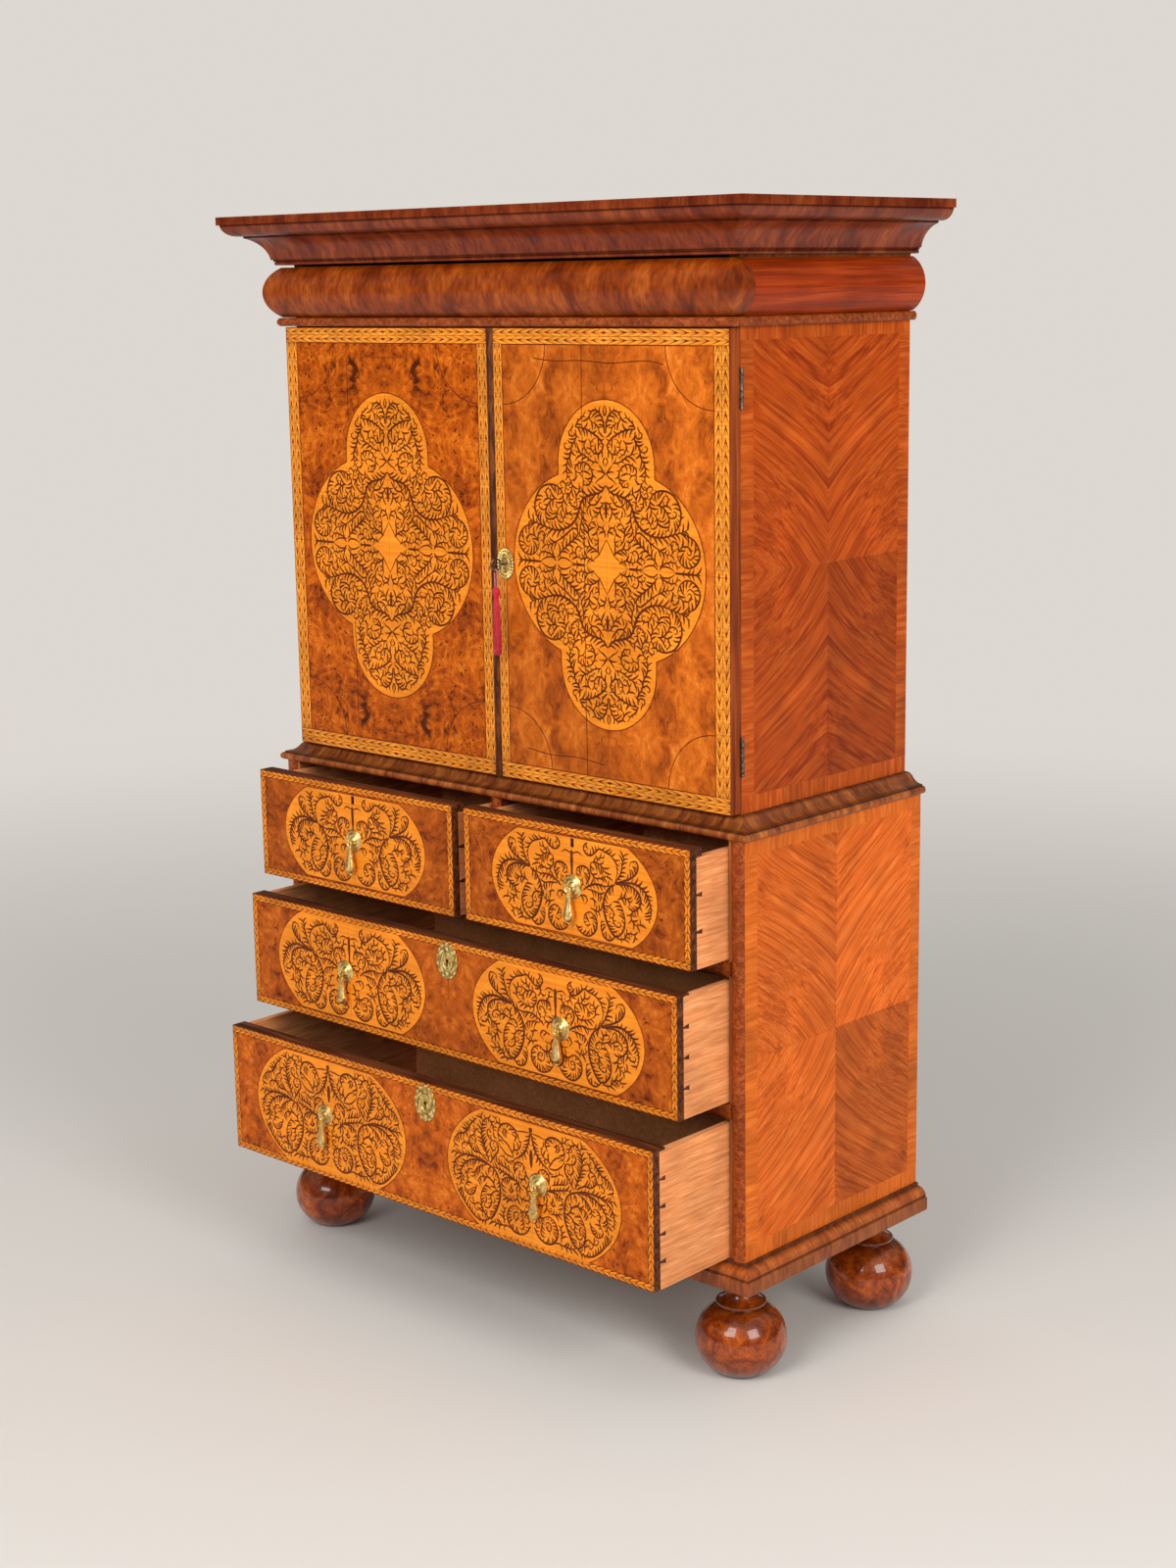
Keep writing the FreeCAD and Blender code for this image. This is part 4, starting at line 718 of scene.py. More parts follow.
# Burr walnut of the drawers: tight curls and eyes, brown-orange and rather dry. Boxwood: pale and
# even, yellow-orange under polish, grain hardly seen. Scroll walnut: near black-brown, cut from thin
# leaves and let into the boxwood. Leaf boxwood, on the doors: paler and shaded with hot sand.
drawer_burr = burr("burr_walnut_drawers", ("#561A00", "#944004", "#B4540A", "#D47622"), blotch=0.38, eyes=0.85)
inlay = {"swirl": 0.3, "relief": 0.02}
boxwood = timber(
    "boxwood", ("#E07A12", "#EA861C", "#F29226"), ring=3.5, run=160, fibre=0.06, gloss=0.34, **inlay
)
scroll_walnut = timber(
    "scroll_walnut", ("#4C1A02", "#622806", "#7A360A"), ring=4, run=30, fibre=0.3, gloss=0.36, **inlay
)
leaf_boxwood = timber(
    "leaf_boxwood", ("#E88620", "#F6962A", "#FEAA42"), ring=3, run=60, fibre=0.2, gloss=0.36, **inlay
)
string_walnut = timber(
    "stringing_walnut", ("#4E1804", "#6A2406", "#7E300A"), ring=4, run=30, fibre=0.3, gloss=0.4, **inlay
)
# The right half of an oval's scrolls, from its centre: the short and upper drawers' pattern, and
# the fuller one of the lowest drawer.
short_scrolls = (
    (3.6, "", ((0.6, 58), (0.6, 40), (0.6, 20))),
    (2.6, "in", ((30, 8), (37.5, 22), (33, 34), (20, 36), (10, 29), (11, 19))),
    (2.0, "", ((2, 54), (14, 57), (22, 52))),
    (2.4, "in", ((34, 75), (26, 70), (27, 60), (38, 55), (49, 61), (58, 69), (68, 66), (83, 61), (93, 50),
     (95, 36), (90, 19))),
    (2.0, "both", ((40, 44), (52, 46), (64, 41), (70, 32))),
    (2.0, "both", ((52, 46), (58, 54), (70, 56))),
    (2.2, "both", ((40, 44), (40, 30), (50, 21), (65, 24), (76, 29))),
    (2.2, "both", ((90, 19), (102, 36), (107, 54), (110, 68))),
    (2.6, "in", ((90, 19), (117, 29), (132, 39), (138, 51), (134, 60), (123, 57), (121, 50))),
    (3.0, "both", ((90, 19), (112, 23), (132, 24), (150, 16), (160, 1), (164, -16), (158, -32))),
    (2.8, "both", ((92, 18), (112, 20), (127, 18), (140, 9), (142, -6), (134, -16), (124, -22), (124, -34),
     (135, -41), (143, -34))),
    (3.0, "in", ((90, 17), (77, 9), (67, -9), (67, -31), (77, -54), (90, -66), (105, -56), (110, -39),
     (105, -19), (95, -6))),
    (2.2, "both", ((96, -5), (110, -1), (123, -7))),
    (2.6, "both", ((24, -2), (35, 6), (52, 12), (70, 11), (87, 16))),
    (2.0, "both", ((32, 1), (46, 0), (58, -3), (66, -12))),
    (2.0, "both", ((38, -13), (46, -14), (52, -18))),
    (2.0, "in", ((12, -14), (26, -10), (32, -17), (26, -24))),
    (2.4, "in", ((7, -60), (17, -71), (35, -74), (50, -61), (50, -44), (38, -35), (26, -41), (25, -54),
     (33, -60))),
    (2.0, "both", ((38, -28), (54, -31), (65, -22))),
    (2.4, "in", ((90, -66), (78, -74), (65, -69), (60, -54), (62, -42))),
    (2.2, "both", ((92, -68), (107, -67), (115, -57), (128, -56), (134, -64))),
)
long_scrolls = (
    (4.5, "", ((0.6, 54), (0.6, 42), (0.6, 25))),
    (4.5, "", ((0.6, 91), (0.6, 86), (0.6, 82))),
    (3.0, "both", ((1, 82), (5, 66), (12, 50), (24, 38), (36, 31), (40, 22))),
    (1.8, "", ((3, 82), (17, 81), (29, 79), (36, 82))),
    (2.6, "in", ((36, 60), (31, 72), (37, 82), (50, 86), (64, 82), (72, 70), (71, 56), (60, 50))),
    (2.0, "both", ((50, 70), (58, 76), (64, 68))),
    (2.2, "", ((38, 34), (50, 50), (62, 56), (73, 52))),
    (2.2, "", ((39, 33), (53, 34), (65, 42), (73, 52))),
    (2.4, "in", ((92, 10), (80, 26), (73, 36), (74, 47), (82, 51), (90, 47))),
    (2.4, "both", ((94, 12), (102, 32), (109, 50), (109, 66), (106, 78), (112, 88))),
    (2.2, "both", ((107, 76), (97, 85), (87, 80), (82, 70), (84, 60))),
    (2.4, "in", ((97, 12), (113, 22), (128, 23), (138, 33), (136, 46), (126, 48), (121, 40))),
    (2.4, "both", ((120, 80), (135, 66), (147, 50), (164, 43), (174, 30), (171, 20))),
    (2.0, "both", ((147, 50), (140, 60), (142, 70))),
    (2.8, "both", ((88, 5), (107, 11), (127, 13), (147, 12), (164, 10), (178, 13))),
    (2.6, "both", ((92, 6), (114, 9), (132, 7), (147, -1), (158, -15), (161, -32), (156, -42))),
    (2.2, "both", ((147, 11), (162, 5), (173, -6), (175, -20), (174, -34))),
    (2.2, "both", ((100, 6), (116, -1), (126, -11), (129, -24))),
    (2.2, "both", ((92, -14), (104, -16), (114, -18), (122, -28))),
    (2.6, "both", ((24, -15), (36, -5), (54, 0), (72, 5), (88, 5))),
    (3.0, "in", ((88, 5), (77, -3), (71, -20), (71, -43), (77, -60), (87, -78), (97, -85), (109, -76),
     (115, -56), (110, -38), (100, -25))),
    (2.0, "both", ((38, -6), (56, -5), (67, -17), (64, -33))),
    (2.0, "in", ((20, -18), (29, -12), (34, -22), (27, -30))),
    (2.0, "both", ((40, -42), (54, -40), (68, -34))),
    (2.2, "both", ((40, -22), (46, -28), (52, -24))),
    (2.6, "in", ((4, -74), (14, -88), (29, -94), (45, -90), (55, -75), (52, -58), (40, -48), (27, -51),
     (22, -62))),
    (2.2, "both", ((30, -66), (36, -72), (42, -68))),
    (1.8, "", ((45, -90), (57, -87), (64, -92), (61, -97))),
    (2.0, "both", ((56, -86), (72, -89), (84, -88), (96, -85))),
    (2.0, "both", ((62, -84), (64, -70), (60, -56))),
    (2.4, "both", ((97, -86), (110, -92), (127, -90), (142, -80), (157, -65), (167, -54), (169, -42))),
    (2.0, "in", ((112, -86), (113, -70), (122, -64), (130, -72), (124, -80))),
    (2.2, "in", ((124, -34), (129, -48), (139, -55), (150, -50), (150, -40), (142, -38))),
    (2.4, "in", ((37, 5), (38, 19), (30, 27), (19, 26), (13, 18))),
    (2.0, "both", ((44, 6), (58, 11), (72, 14), (82, 20))),
    (2.0, "both", ((42, 20), (54, 24), (64, 30))),
)
# Each drawer: its ovals' centres, their shape as in oval_room, the scrolls with their stretch each
# way and the bare ground left between them, the tone of the burr, its place on the figure, and how
# far down its keyhole is.
drawers = {
    "short_left": ([-254.3], (176.5, 107.7, -2, 79, -79), short_scrolls, (1.0, 1.0), 14, -0.12, 0.1, 20),
    "short_right": ([251.3], (176.5, 107.7, -2, 79, -79), short_scrolls, (1.0, 1.0), 14, -0.12, 0.9, 20),
    "long_upper": ([-241.4, 241.4], (186, 116.8, 0, 87.8, -85), short_scrolls, (1.06, 1.08), 11, 0.0, 1.7, 34),
    "long_lower": ([-241.5, 237.5], (190, 126, -4, 98.75, -105), long_scrolls, (1.0, 1.0), 10, 0.18, 2.6, 34),
}
dress(front_walnut, *(f"{name}_drawer_front" for name in drawers))
dress(lining_oak, *(f"{name}_drawer_box" for name in (*drawers, "frieze")))
dress(shaded_bottom_oak, *(f"{name}_drawer_bottom" for name in (*drawers, "frieze")))
band, seam = 12.5, 0.2
key_half, key_foot = 3.4, 10.7
for name, (centres, shape, scrolls, stretch, void, tint, patch, key_drop) in drawers.items():
    chance = np.random.default_rng(round(10 * patch) + 40)
    low, high = (np.array(v) * 1000 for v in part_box(f"{name}_drawer_front"))
    x0, x1, z0, z1 = low[0], high[0], low[2], high[2]
    middle = (z0 + z1) / 2
    seat = ((0, low[1] / 1000, 0), (1, 0, 0), (0, 0, 1))
    body = f"{name}_drawer"
    inner = (x0 + band, x1 - band, z0 + band, z1 - band)
    # Burr field: two leaves matched about the middle of the front, and cut out round the keyhole.
    mid = (x0 + x1) / 2
    hole = (mid - key_half, mid + key_half, z1 - key_drop - key_foot, z1 - key_drop + key_half)
    field = []
    for a, b in ((inner[0], mid - seam), (mid + seam, inner[1])):
        leaf = round_hole(a, b, inner[2], inner[3], hole)
        uv = np.stack([np.abs(leaf[..., 0] - mid) / 1000 + patch, leaf[..., 1] / 1000], -1)
        field.append((leaf, tint, uv))
    # Banding: dark ground, then leaves that run from the corners to the middle of each side.
    ground = [(framed(x0, x1, z0, z1, band), 0.0, None)]
    runs = []
    for a, b, half in banding_runs(x0, x1, z0, z1, inner, (mid, middle), inset=1.0, gap=0.0):
        runs += feathered(a, b, half - 1.0, chance, pitch=14, centre=half - 1.0, gap=2.0)
    # Ovals: a boxwood ground in two halves, its dark outline, and the scrolls.
    wide, tall, drop, top, foot = shape
    strip_half, n = 8, 40
    turn = np.linspace(1, -1, 2 * n + 1)[:, None] * [np.pi / 2, np.arccos(strip_half / wide)]
    edge = np.stack([wide * np.cos(turn), np.clip(drop + tall * np.sin(turn), foot, top)], -1)
    rim = strip(edge[:, 0], np.full(2 * n + 1, 0.7))[None]
    half = np.stack([edge[: n + 1, 1], edge[: n - 1 : -1, 1]], 1)[None]
    half_stems, half_leaves = seaweed(
        [(w, sides, np.array(points) * stretch) for w, sides, points in scrolls],
        lambda spots: oval_room(spots, *shape),
        np.random.default_rng(7), void, pitch=7.2, longest=17, stout=0.12,
    )
    grounds, outlines, stems, leaves = [], [], [], []
    for centre in centres:
        for flip in ((1, 1), (-1, 1)):
            at = [centre, middle]
            light = chance.uniform(-0.03, 0.03)
            grounds.append((mirrored(half, flip) + at, light, None))
            a, b = sorted((centre + seam * flip[0], centre + strip_half * flip[0]))
            grounds.append((round_hole(a, b, middle + foot, middle + top, hole), light, None))
            outlines.append((mirrored(rim, flip) + at, 0, None))
            stems.append((mirrored(half_stems, flip) + at, 0, None))
            shade = chance.uniform(-0.15, 0.2, len(half_leaves))
            leaves.append((mirrored(half_leaves, flip) + at, shade, None))
    layers = (
        ("burr", field, drawer_burr),
        ("band_ground", ground, string_walnut),
        ("banding", runs, boxwood),
        ("ovals", grounds, boxwood),
        ("oval_lines", outlines, string_walnut),
        ("leaves", leaves, scroll_walnut),
        ("scrolls", stems, scroll_walnut),
    )
    marquetry(name, body, seat, layers)


# Brasses. Cast drops on turned roses, held by staples through the fronts, and cast oval
# escutcheons with a scrolled rim, pinned over the keyholes of the long drawers.
# Old cast brass: pale, stained brown in patches, with a soft broken shine; casting texture about 2 mm. On the
# cast reliefs the tone attribute makes the raised tops bright and the hollows brown, partly wear and tarnish and
# partly painted highlight and painted shade.
cast_brass, tree, shader = finish_of("cast_brass", Metallic=1.0)
place = add(tree, "TexCoord")["Object"]
stains = {"Vector": place, "Scale": 1000 / 7, "Detail": 4.0, "Roughness": 0.65}
dirt = add(tree, "TexNoise", stains)["Fac"]
brass_tones = ((0.30, "#8E6A2A"), (0.45, "#DCB464"), (0.62, "#F8DE9C"))
tinted(tree, shader, add(tree, "ValToRGB", {"Fac": dirt}, stops=brass_tones)["Color"])
rough = add(tree, "MapRange", {"Value": dirt, "To Min": 0.46, "To Max": 0.3})["Result"]
tree.links.new(rough, shader.inputs["Roughness"])
pits = add(tree, "TexNoise", {"Vector": place, "Scale": 1000 / 2, "Detail": 2.0})["Fac"]
bump = add(tree, "Bump", {"Height": pits, "Strength": 0.15, "Distance": 0.001})["Normal"]
tree.links.new(bump, shader.inputs["Normal"])
dress(cast_brass, *(f"{name}_brasses" for name in drawers))


def cast_relief(name, x, face_y, z, wide, high, lobes, curls, body):
    """The cast ornament of an escutcheon: a closed ring on the plate, from a third of the way out to its edge.
    Its edge and its outer swelling go as the cosine of lobes times the angle, the scrolls inside that as the
    cosine of curls times it, and a plain ring runs round the keyhole; each swelling is a bell curve of the
    distance outward. The tone follows the height: the raised tops are lighter, a painted highlight, and the
    hollows dark, a painted shade."""
    turn = np.linspace(0, 2 * np.pi, 12 * lobes, endpoint=False)[:, None]
    out = np.linspace(0.4, 1.0, 17)
    wave, scroll = np.cos(lobes * turn), np.cos(curls * turn + 1.3 * np.sin(2 * turn) + 9 * out)
    swellings = ((0.9 + 0.7 * wave, 0.9, 0.07), (0.8 + 0.9 * scroll, 0.68, 0.1), (1.4, 0.46, 0.045))
    rise = 0.2
    for tall, middle, width in swellings:
        rise = rise + tall * np.exp(-(((out - middle) / width) ** 2))
    reach = out * (1 + 0.03 * wave * out**6)
    rise = np.hstack([rise, np.full((len(turn), 2), -2.2)])
    reach = np.hstack([reach, reach[:, -1:], reach[:, :1]])
    points = np.stack(
        [x + wide / 2 * reach * np.sin(turn), face_y - 2 - rise, z + high / 2 * reach * np.cos(turn)], -1
    )
    n, m = rise.shape
    k = np.arange(n * m).reshape(n, m)
    right, over = np.roll(k, -1, 0), np.roll(k, -1, 1)
    faces = np.stack([k, over, np.roll(right, -1, 1), right], -1).reshape(-1, 4)
    # Tones by height: painted highlight on the raised tops, painted shade in the hollows.
    tones = np.clip(0.9 * rise - 0.7, -0.6, 0.4).ravel()
    made = piece(name, points.reshape(-1, 3) / 1000, faces, tones, cast_brass, body)
    made.data.shade_smooth()


for name in ("long_upper", "long_lower"):
    low, high = (np.array(v) * 1000 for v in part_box(f"{name}_drawer_front"))
    key_z = high[2] - drawers[name][-1]
    cast_relief(
        f"{name}_escutcheon_relief", x=0, face_y=low[1], z=key_z, wide=48, high=62, lobes=14, curls=6,
        body=f"{name}_drawer",
    )
dress(cast_brass, *(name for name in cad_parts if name.startswith("drop_")))


# Cabinet carcase. Pine boards with walnut fronts: sides, top, bottom, frieze board, upright back
# boards and two shelves housed in the sides. The butt hinges are wrought iron, let in and nailed.
dress(pine_upright, "cabinet_back_boards", "cabinet_side_left", "cabinet_side_right")
dress(pine_across, "cabinet_bottom", "cabinet_top", "frieze_board", "cornice_top", "shelves")
# Iron: forged, wiped with oil and gone dark brown, with a dull broken shine.
wrought_iron, tree, shader = finish_of("wrought_iron", Metallic=1.0)
place = add(tree, "TexCoord")["Object"]
scale_marks = add(tree, "TexNoise", {"Vector": place, "Scale": 1000 / 4, "Detail": 4.0})["Fac"]
colour = add(tree, "ValToRGB", {"Fac": scale_marks}, stops=((0.35, "#3A322C"), (0.65, "#94897C")))
tree.links.new(colour["Color"], shader.inputs["Base Color"])
rough = add(tree, "MapRange", {"Value": scale_marks, "To Min": 0.62, "To Max": 0.4})["Result"]
tree.links.new(rough, shader.inputs["Roughness"])
dress(wrought_iron, "cabinet_hinges", "left_door_hinge_leaves", "right_door_hinge_leaves")
dress(wrought_iron, "door_lock_case", "lock_bolt")
# The cabinet's side veneers are laid as the chest's are, but cut from redder, quieter leaves.
cabinet_veneer = timber(
    "walnut_veneer_cabinet", ("#963406", "#B6480C", "#CA5C18"), ring=9, run=300, fibre=0.5, gloss=0.34,
    level=0.12, swirl=1.0, sway=150,
)
cabinet_border = timber(
    "walnut_crossbanding_cabinet", ("#A6420C", "#B84E10", "#CA601C"), ring=7, run=70, fibre=0.3, gloss=0.34,
    level=0.12, swirl=0.6,
)
bead_foot, waist_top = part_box("frieze_bead")[0].z * 1000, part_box("waist_moulding")[1].z * 1000
# The leaf tints are a painted sheen: quarters painted lighter and darker in turn.
veneered_sides(
    "cabinet", waist_top, bead_foot, borders=(30, 20, 28, 26), middle=(214.5, 1274), slant=0.65,
    sheen_tints=(0.0, 0.06, -0.06, -0.24), finishes=(cabinet_veneer, cabinet_border), seed=8,
)


# Doors. Framed pine leaves veneered with burr walnut in four matched quarters round a medallion of
# seaweed marquetry, with feather banding at the edges and quarter-round stringing in the corners.
door_walnut = timber(
    "door_leaf_walnut", ("#742C0E", "#923E14", "#AA5220"), ring=8, run=220, along="Z", fibre=0.5, gloss=0.45,
)
dress(door_walnut, "left_door_leaf", "right_door_leaf")
# Burr walnut of the doors: the left leaf is full of eyes and dark clouds, the right one is a
# smoother, more orange figure drawn out upright.
left_burr = burr(
    "burr_walnut_left", ("#5A1E00", "#984002", "#BC5604", "#DC781A"), blotch=0.25, eyes=0.9, flock=0.38,
    knots=((0.377, 0.29, 0.017), (0.425, 0.3, 0.009)),
)
right_burr = burr(
    "burr_walnut_right", ("#7C3406", "#AA4E0C", "#CC6614", "#EC8A32"), blotch=0.45, eyes=0.6, grain=0.6,
)
# A quarter of the medallion's scrolls, from its centre; the first stroke is the edge of the star.
door_scrolls = (
    (1.4, "", ((0.6, 42), (7, 32), (17.5, 17.5), (33, 6.5), (43, 0.6))),
    (3.2, "both", ((1, 126), (6, 119), (16, 113), (28, 111), (42, 107), (52, 98), (58, 82), (66, 68),
     (82, 57), (99, 52), (118, 53), (137, 58), (156, 63), (168, 69))),
    (2.4, "in", ((9, 110), (20, 97), (32, 95), (39, 101), (38, 108))),
    (2.0, "both", ((1.5, 101), (10, 93), (15, 83), (26, 76), (33, 79))),
    (3.2, "both", ((0.8, 100), (0.8, 90), (0.8, 76))),
    (2.6, "both", ((137, 58), (148, 72), (152, 88), (148, 103), (137, 117), (120, 123), (104, 121),
     (92, 112), (90, 98), (98, 87), (107, 88))),
    (2.2, "both", ((103, 101), (114, 99), (124, 90), (129, 77), (126, 65), (118, 58))),
    (2.4, "in", ((156, 62), (168, 56), (178, 51), (187, 38), (187, 24), (176, 12), (161, 9.5), (149, 17),
     (144, 29), (150, 38))),
    (1.8, "both", ((187, 30), (178, 28), (169, 22), (162, 27))),
    (2.2, "", ((108, 3), (114, 8), (124, 8.5), (134, 5), (139, 1))),
    (2.2, "", ((104, 3), (98, 8), (88, 8.5), (78, 5), (73, 1))),
    (2.4, "both", ((105, 8), (95, 19), (83, 29), (70, 38), (60, 47), (60, 54), (67, 57), (76, 53), (88, 44),
     (102, 36), (118, 29), (132, 27), (139, 36))),
    (2.2, "both", ((54, 94), (51, 84), (51, 72), (54, 62), (57, 50))),
    (2.0, "both", ((108, 8), (122, 14), (136, 16), (148, 8))),
    (2.2, "both", ((3, 46), (3, 52), (8, 60), (16, 61), (20, 53), (17, 44))),
    (2.0, "both", ((14, 18), (24, 26), (36, 30), (46, 28))),
    (2.0, "both", ((26, 7), (40, 12), (54, 10), (66, 14))),
    (2.0, "both", ((28, 34), (36, 44), (38, 56), (34, 66), (22, 70))),
    (2.4, "both", ((1.5, 206), (3, 221), (9, 234), (20, 241), (30, 236), (31, 226), (23, 221), (18, 227))),
    (2.0, "", ((1, 232), (3, 240), (1, 248))),
    (2.2, "both", ((62, 214), (56, 223), (46, 230), (40, 239))),
    (2.6, "both", ((62, 214), (44, 212), (25, 205), (11, 196), (4, 186), (11, 176), (22, 174), (30, 182),
     (28, 194), (19, 198))),
    (2.0, "both", ((38, 196), (44, 187), (39, 176), (27, 169))),
    (2.4, "both", ((62, 210), (61, 196), (70, 185), (73, 171), (80, 160), (82, 145), (76, 133), (64, 130))),
    (2.0, "both", ((14, 160), (30, 163), (44, 171), (58, 176), (68, 178))),
    (2.2, "both", ((32, 154), (44, 160), (58, 157), (64, 149), (56, 143), (44, 147))),
    (2.2, "both", ((36, 158), (29, 148), (28, 137), (35, 126), (46, 126), (46, 134))),
    (2.0, "", ((1, 144), (7, 150), (14, 158))),
    (2.0, "", ((1, 144), (9, 147), (19, 147))),
    (2.0, "", ((1, 144), (8, 138), (17, 133), (22, 128))),
    (1.8, "", ((1, 168), (5, 163), (1, 156))),
    (2.0, "both", ((140, 0.7), (158, 0.7), (174, 0.7), (189, 0.7))),
    (2.0, "both", ((46, 0.7), (58, 0.7), (73, 0.7))),
)


# Radius and centre of the medallion's upper lobe and of its side lobe, and the star's reach and power.
lobe_r, lobe_z, bulge_r, bulge_x = 100, 157, 146.6, 53.4
star_x, star_z, star_power = 43, 42, 0.8


def door_room(spots):
    """How far spots lie inside a quarter of the medallion, less a plain margin of 8 mm: the greater of the
    distances to the edges of its upper lobe and its side lobe. Out are the other quarters and the star in the
    middle, whose edge is where x and z, each over its reach and to the star's power, add up to 1."""
    x, z = np.abs(spots.T)
    upper = lobe_r - np.hypot(x, np.maximum(z - lobe_z, 0))
    lobes = np.maximum(upper, bulge_r - np.hypot(np.maximum(x - bulge_x, 0), z))
    star = 50 * ((x / star_x) ** star_power + (z / star_z) ** star_power - 1)
    return np.where(spots[:, 1] < 0.5, -5, np.minimum(lobes - 8, star))


quarter = seaweed(
    door_scrolls, door_room, np.random.default_rng(7), void=10, pitch=9.2, longest=22, stout=0.12
)
quarter_stems, quarter_leaves = (np.maximum(strips, 0.1) for strips in quarter)
# Shrinkage cracks over the joints of the boards behind, filled with dark wax: points of each, in
# the door's face.
left_cracks = (
    ((-341, 1588), (-340, 1540), (-341, 1480)),
    ((-341, 1140), (-340, 1060), (-341, 955)),
)
right_cracks = (
    ((199, 1610), (198, 1500), (199, 1300), (198, 1100), (199, 938)),
    ((96, 1590), (140, 1586), (198, 1587), (260, 1584), (330, 1588), (366, 1583)),
    ((66, 966), (120, 961), (180, 963), (236, 958)),
)
for name, finish, patch, shades, centre, inner, cracks in (
    ("left_door", left_burr, 0.3, (0, 0), (-248, 1272.5), (-466, -28.7, 937, 1611), left_cracks),
    ("right_door", right_burr, 1.4, (-0.14, 0.02), (246, 1272), (27.5, 463, 937, 1611), right_cracks),
):
    chance = np.random.default_rng(round(10 * patch) + 70)
    low, high = (np.array(v) * 1000 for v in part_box(f"{name}_leaf"))
    x0, x1, z0, z1 = low[0], high[0], low[2], high[2]
    if name == "right_door":
        x0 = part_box("right_door_astragal")[1].x * 1000
    seat = ((0, low[1] / 1000, 0), (1, 0, 0), (0, 0, 1))
    xc, zc = centre
    # Burr field in four quarters, matched about the medallion's centre.
    field = []
    for a, b, shade in ((inner[0], xc - seam, shades[0]), (xc + seam, inner[1], shades[1])):
        for c, d in ((inner[2], zc - seam), (zc + seam, inner[3])):
            leaf = rectangle(a, b, c, d)
            uv = np.abs(leaf - [xc, zc]) / 1000 + [patch, 0.0]
            field.append((leaf, shade + chance.uniform(-0.04, 0.04), uv))
    # Banding: dark ground, then leaves that run from the corners to the middle of each side.
    widths = (inner[0] - x0, x1 - inner[1], inner[2] - z0, z1 - inner[3])
    ground = [(framed(x0, x1, z0, z1, *widths), 0.45, None)]
    runs = []
    for a, b, half in banding_runs(x0, x1, z0, z1, inner, centre, inset=1.5, gap=0.4):
        runs += feathered(a, b, half - 0.9, chance, pitch=20.5, centre=0.42 * half)
    # Medallion ground in four quarters: round lobes above and below, wider ones to the sides.
    n = 36
    t = np.linspace(0, 1, n)
    way = np.sin(t * np.pi / 2)
    x = np.r_[lobe_r * way, lobe_r + (bulge_x + bulge_r - lobe_r) * way]
    z = np.r_[
        lobe_z + np.sqrt(lobe_r**2 - x[:n] ** 2 + 1e-9),
        np.sqrt(np.maximum(bulge_r**2 - (x[n:] - bulge_x) ** 2, 0.01)),
    ]
    x[n] += 0.01
    lobed = np.stack([np.stack([x + seam, z], -1), np.stack([x + seam, 0 * z + seam], -1)], 1)[None]
    rim = strip(np.stack([x, z], -1), np.full(2 * n, 0.8))[None]
    star = np.stack([star_x * t, star_z * np.maximum(1 - t**star_power, 0) ** (1 / star_power)], -1)
    star = np.stack([star + seam, star * [1, 0] + seam], 1)[None]
    grounds, stars, lines, stems, leaves = [], [], [], [], []
    for flip in ((1, 1), (-1, 1), (-1, -1), (1, -1)):
        stars.append((mirrored(star, flip) + centre, chance.uniform(0.08, 0.12), None))
        grounds.append((mirrored(lobed, flip) + centre, chance.uniform(-0.04, 0.04), None))
        lines.append((mirrored(rim, flip) + centre, 0, None))
        stems.append((mirrored(quarter_stems, flip) + centre, 0, None))
        tint = chance.uniform(-0.15, 0.2, len(quarter_leaves))
        leaves.append((mirrored(quarter_leaves, flip) + centre, tint, None))
    # Stringing: the medallion's outline, a quarter circle in each corner, and the banding's edge.
    corner_r = 94
    arc = np.linspace(0, np.pi / 2, 24)
    arc = strip(corner_r * np.stack([np.cos(arc), np.sin(arc)], -1), np.full(24, 0.75))[None]
    for i, j, flip in ((0, 2, (1, 1)), (1, 2, (-1, 1)), (1, 3, (-1, -1)), (0, 3, (1, -1))):
        lines.append((mirrored(arc, flip) + [inner[i], inner[j]], 0, None))
    lines.append((framed(*inner, 0.8), 0, None))
    for points in cracks:
        line = scroll_line(points)
        lines.append((strip(line, np.full(len(line), 0.65))[None], -0.45, None))
    lines.append((framed(x0, x1, z0, z1, 1.2), 0, None))
    layers = (
        ("burr", field, finish),
        ("band_ground", ground, string_walnut),
        ("banding", runs, leaf_boxwood),
        ("medallion", grounds, boxwood),
        ("star", stars, boxwood),
        ("leaves", leaves, scroll_walnut),
        ("scrolls", stems, scroll_walnut),
        ("stringing", lines, string_walnut),
    )
    marquetry(name, name, seat, layers)


# Astragal, lock, escutcheon and key of the right door. The astragal is a strip of dark walnut glued
# to the meeting edge; the key turns the lock's iron bolt and carries the tassel.
astragal_walnut = timber(
    "astragal_walnut", ("#2E140A", "#4E2612", "#70401F"), ring=9, run=40, along="Z", fibre=0.5, gloss=0.4,
    level=0.18,
)
dress(astragal_walnut, "right_door_astragal")
dress(cast_brass, "door_escutcheon")
cast_relief(
    "door_escutcheon_relief", x=27, face_y=-121.8, z=1263, wide=36, high=50, lobes=26, curls=26,
    body="right_door",
)
dress(wrought_iron, "key")


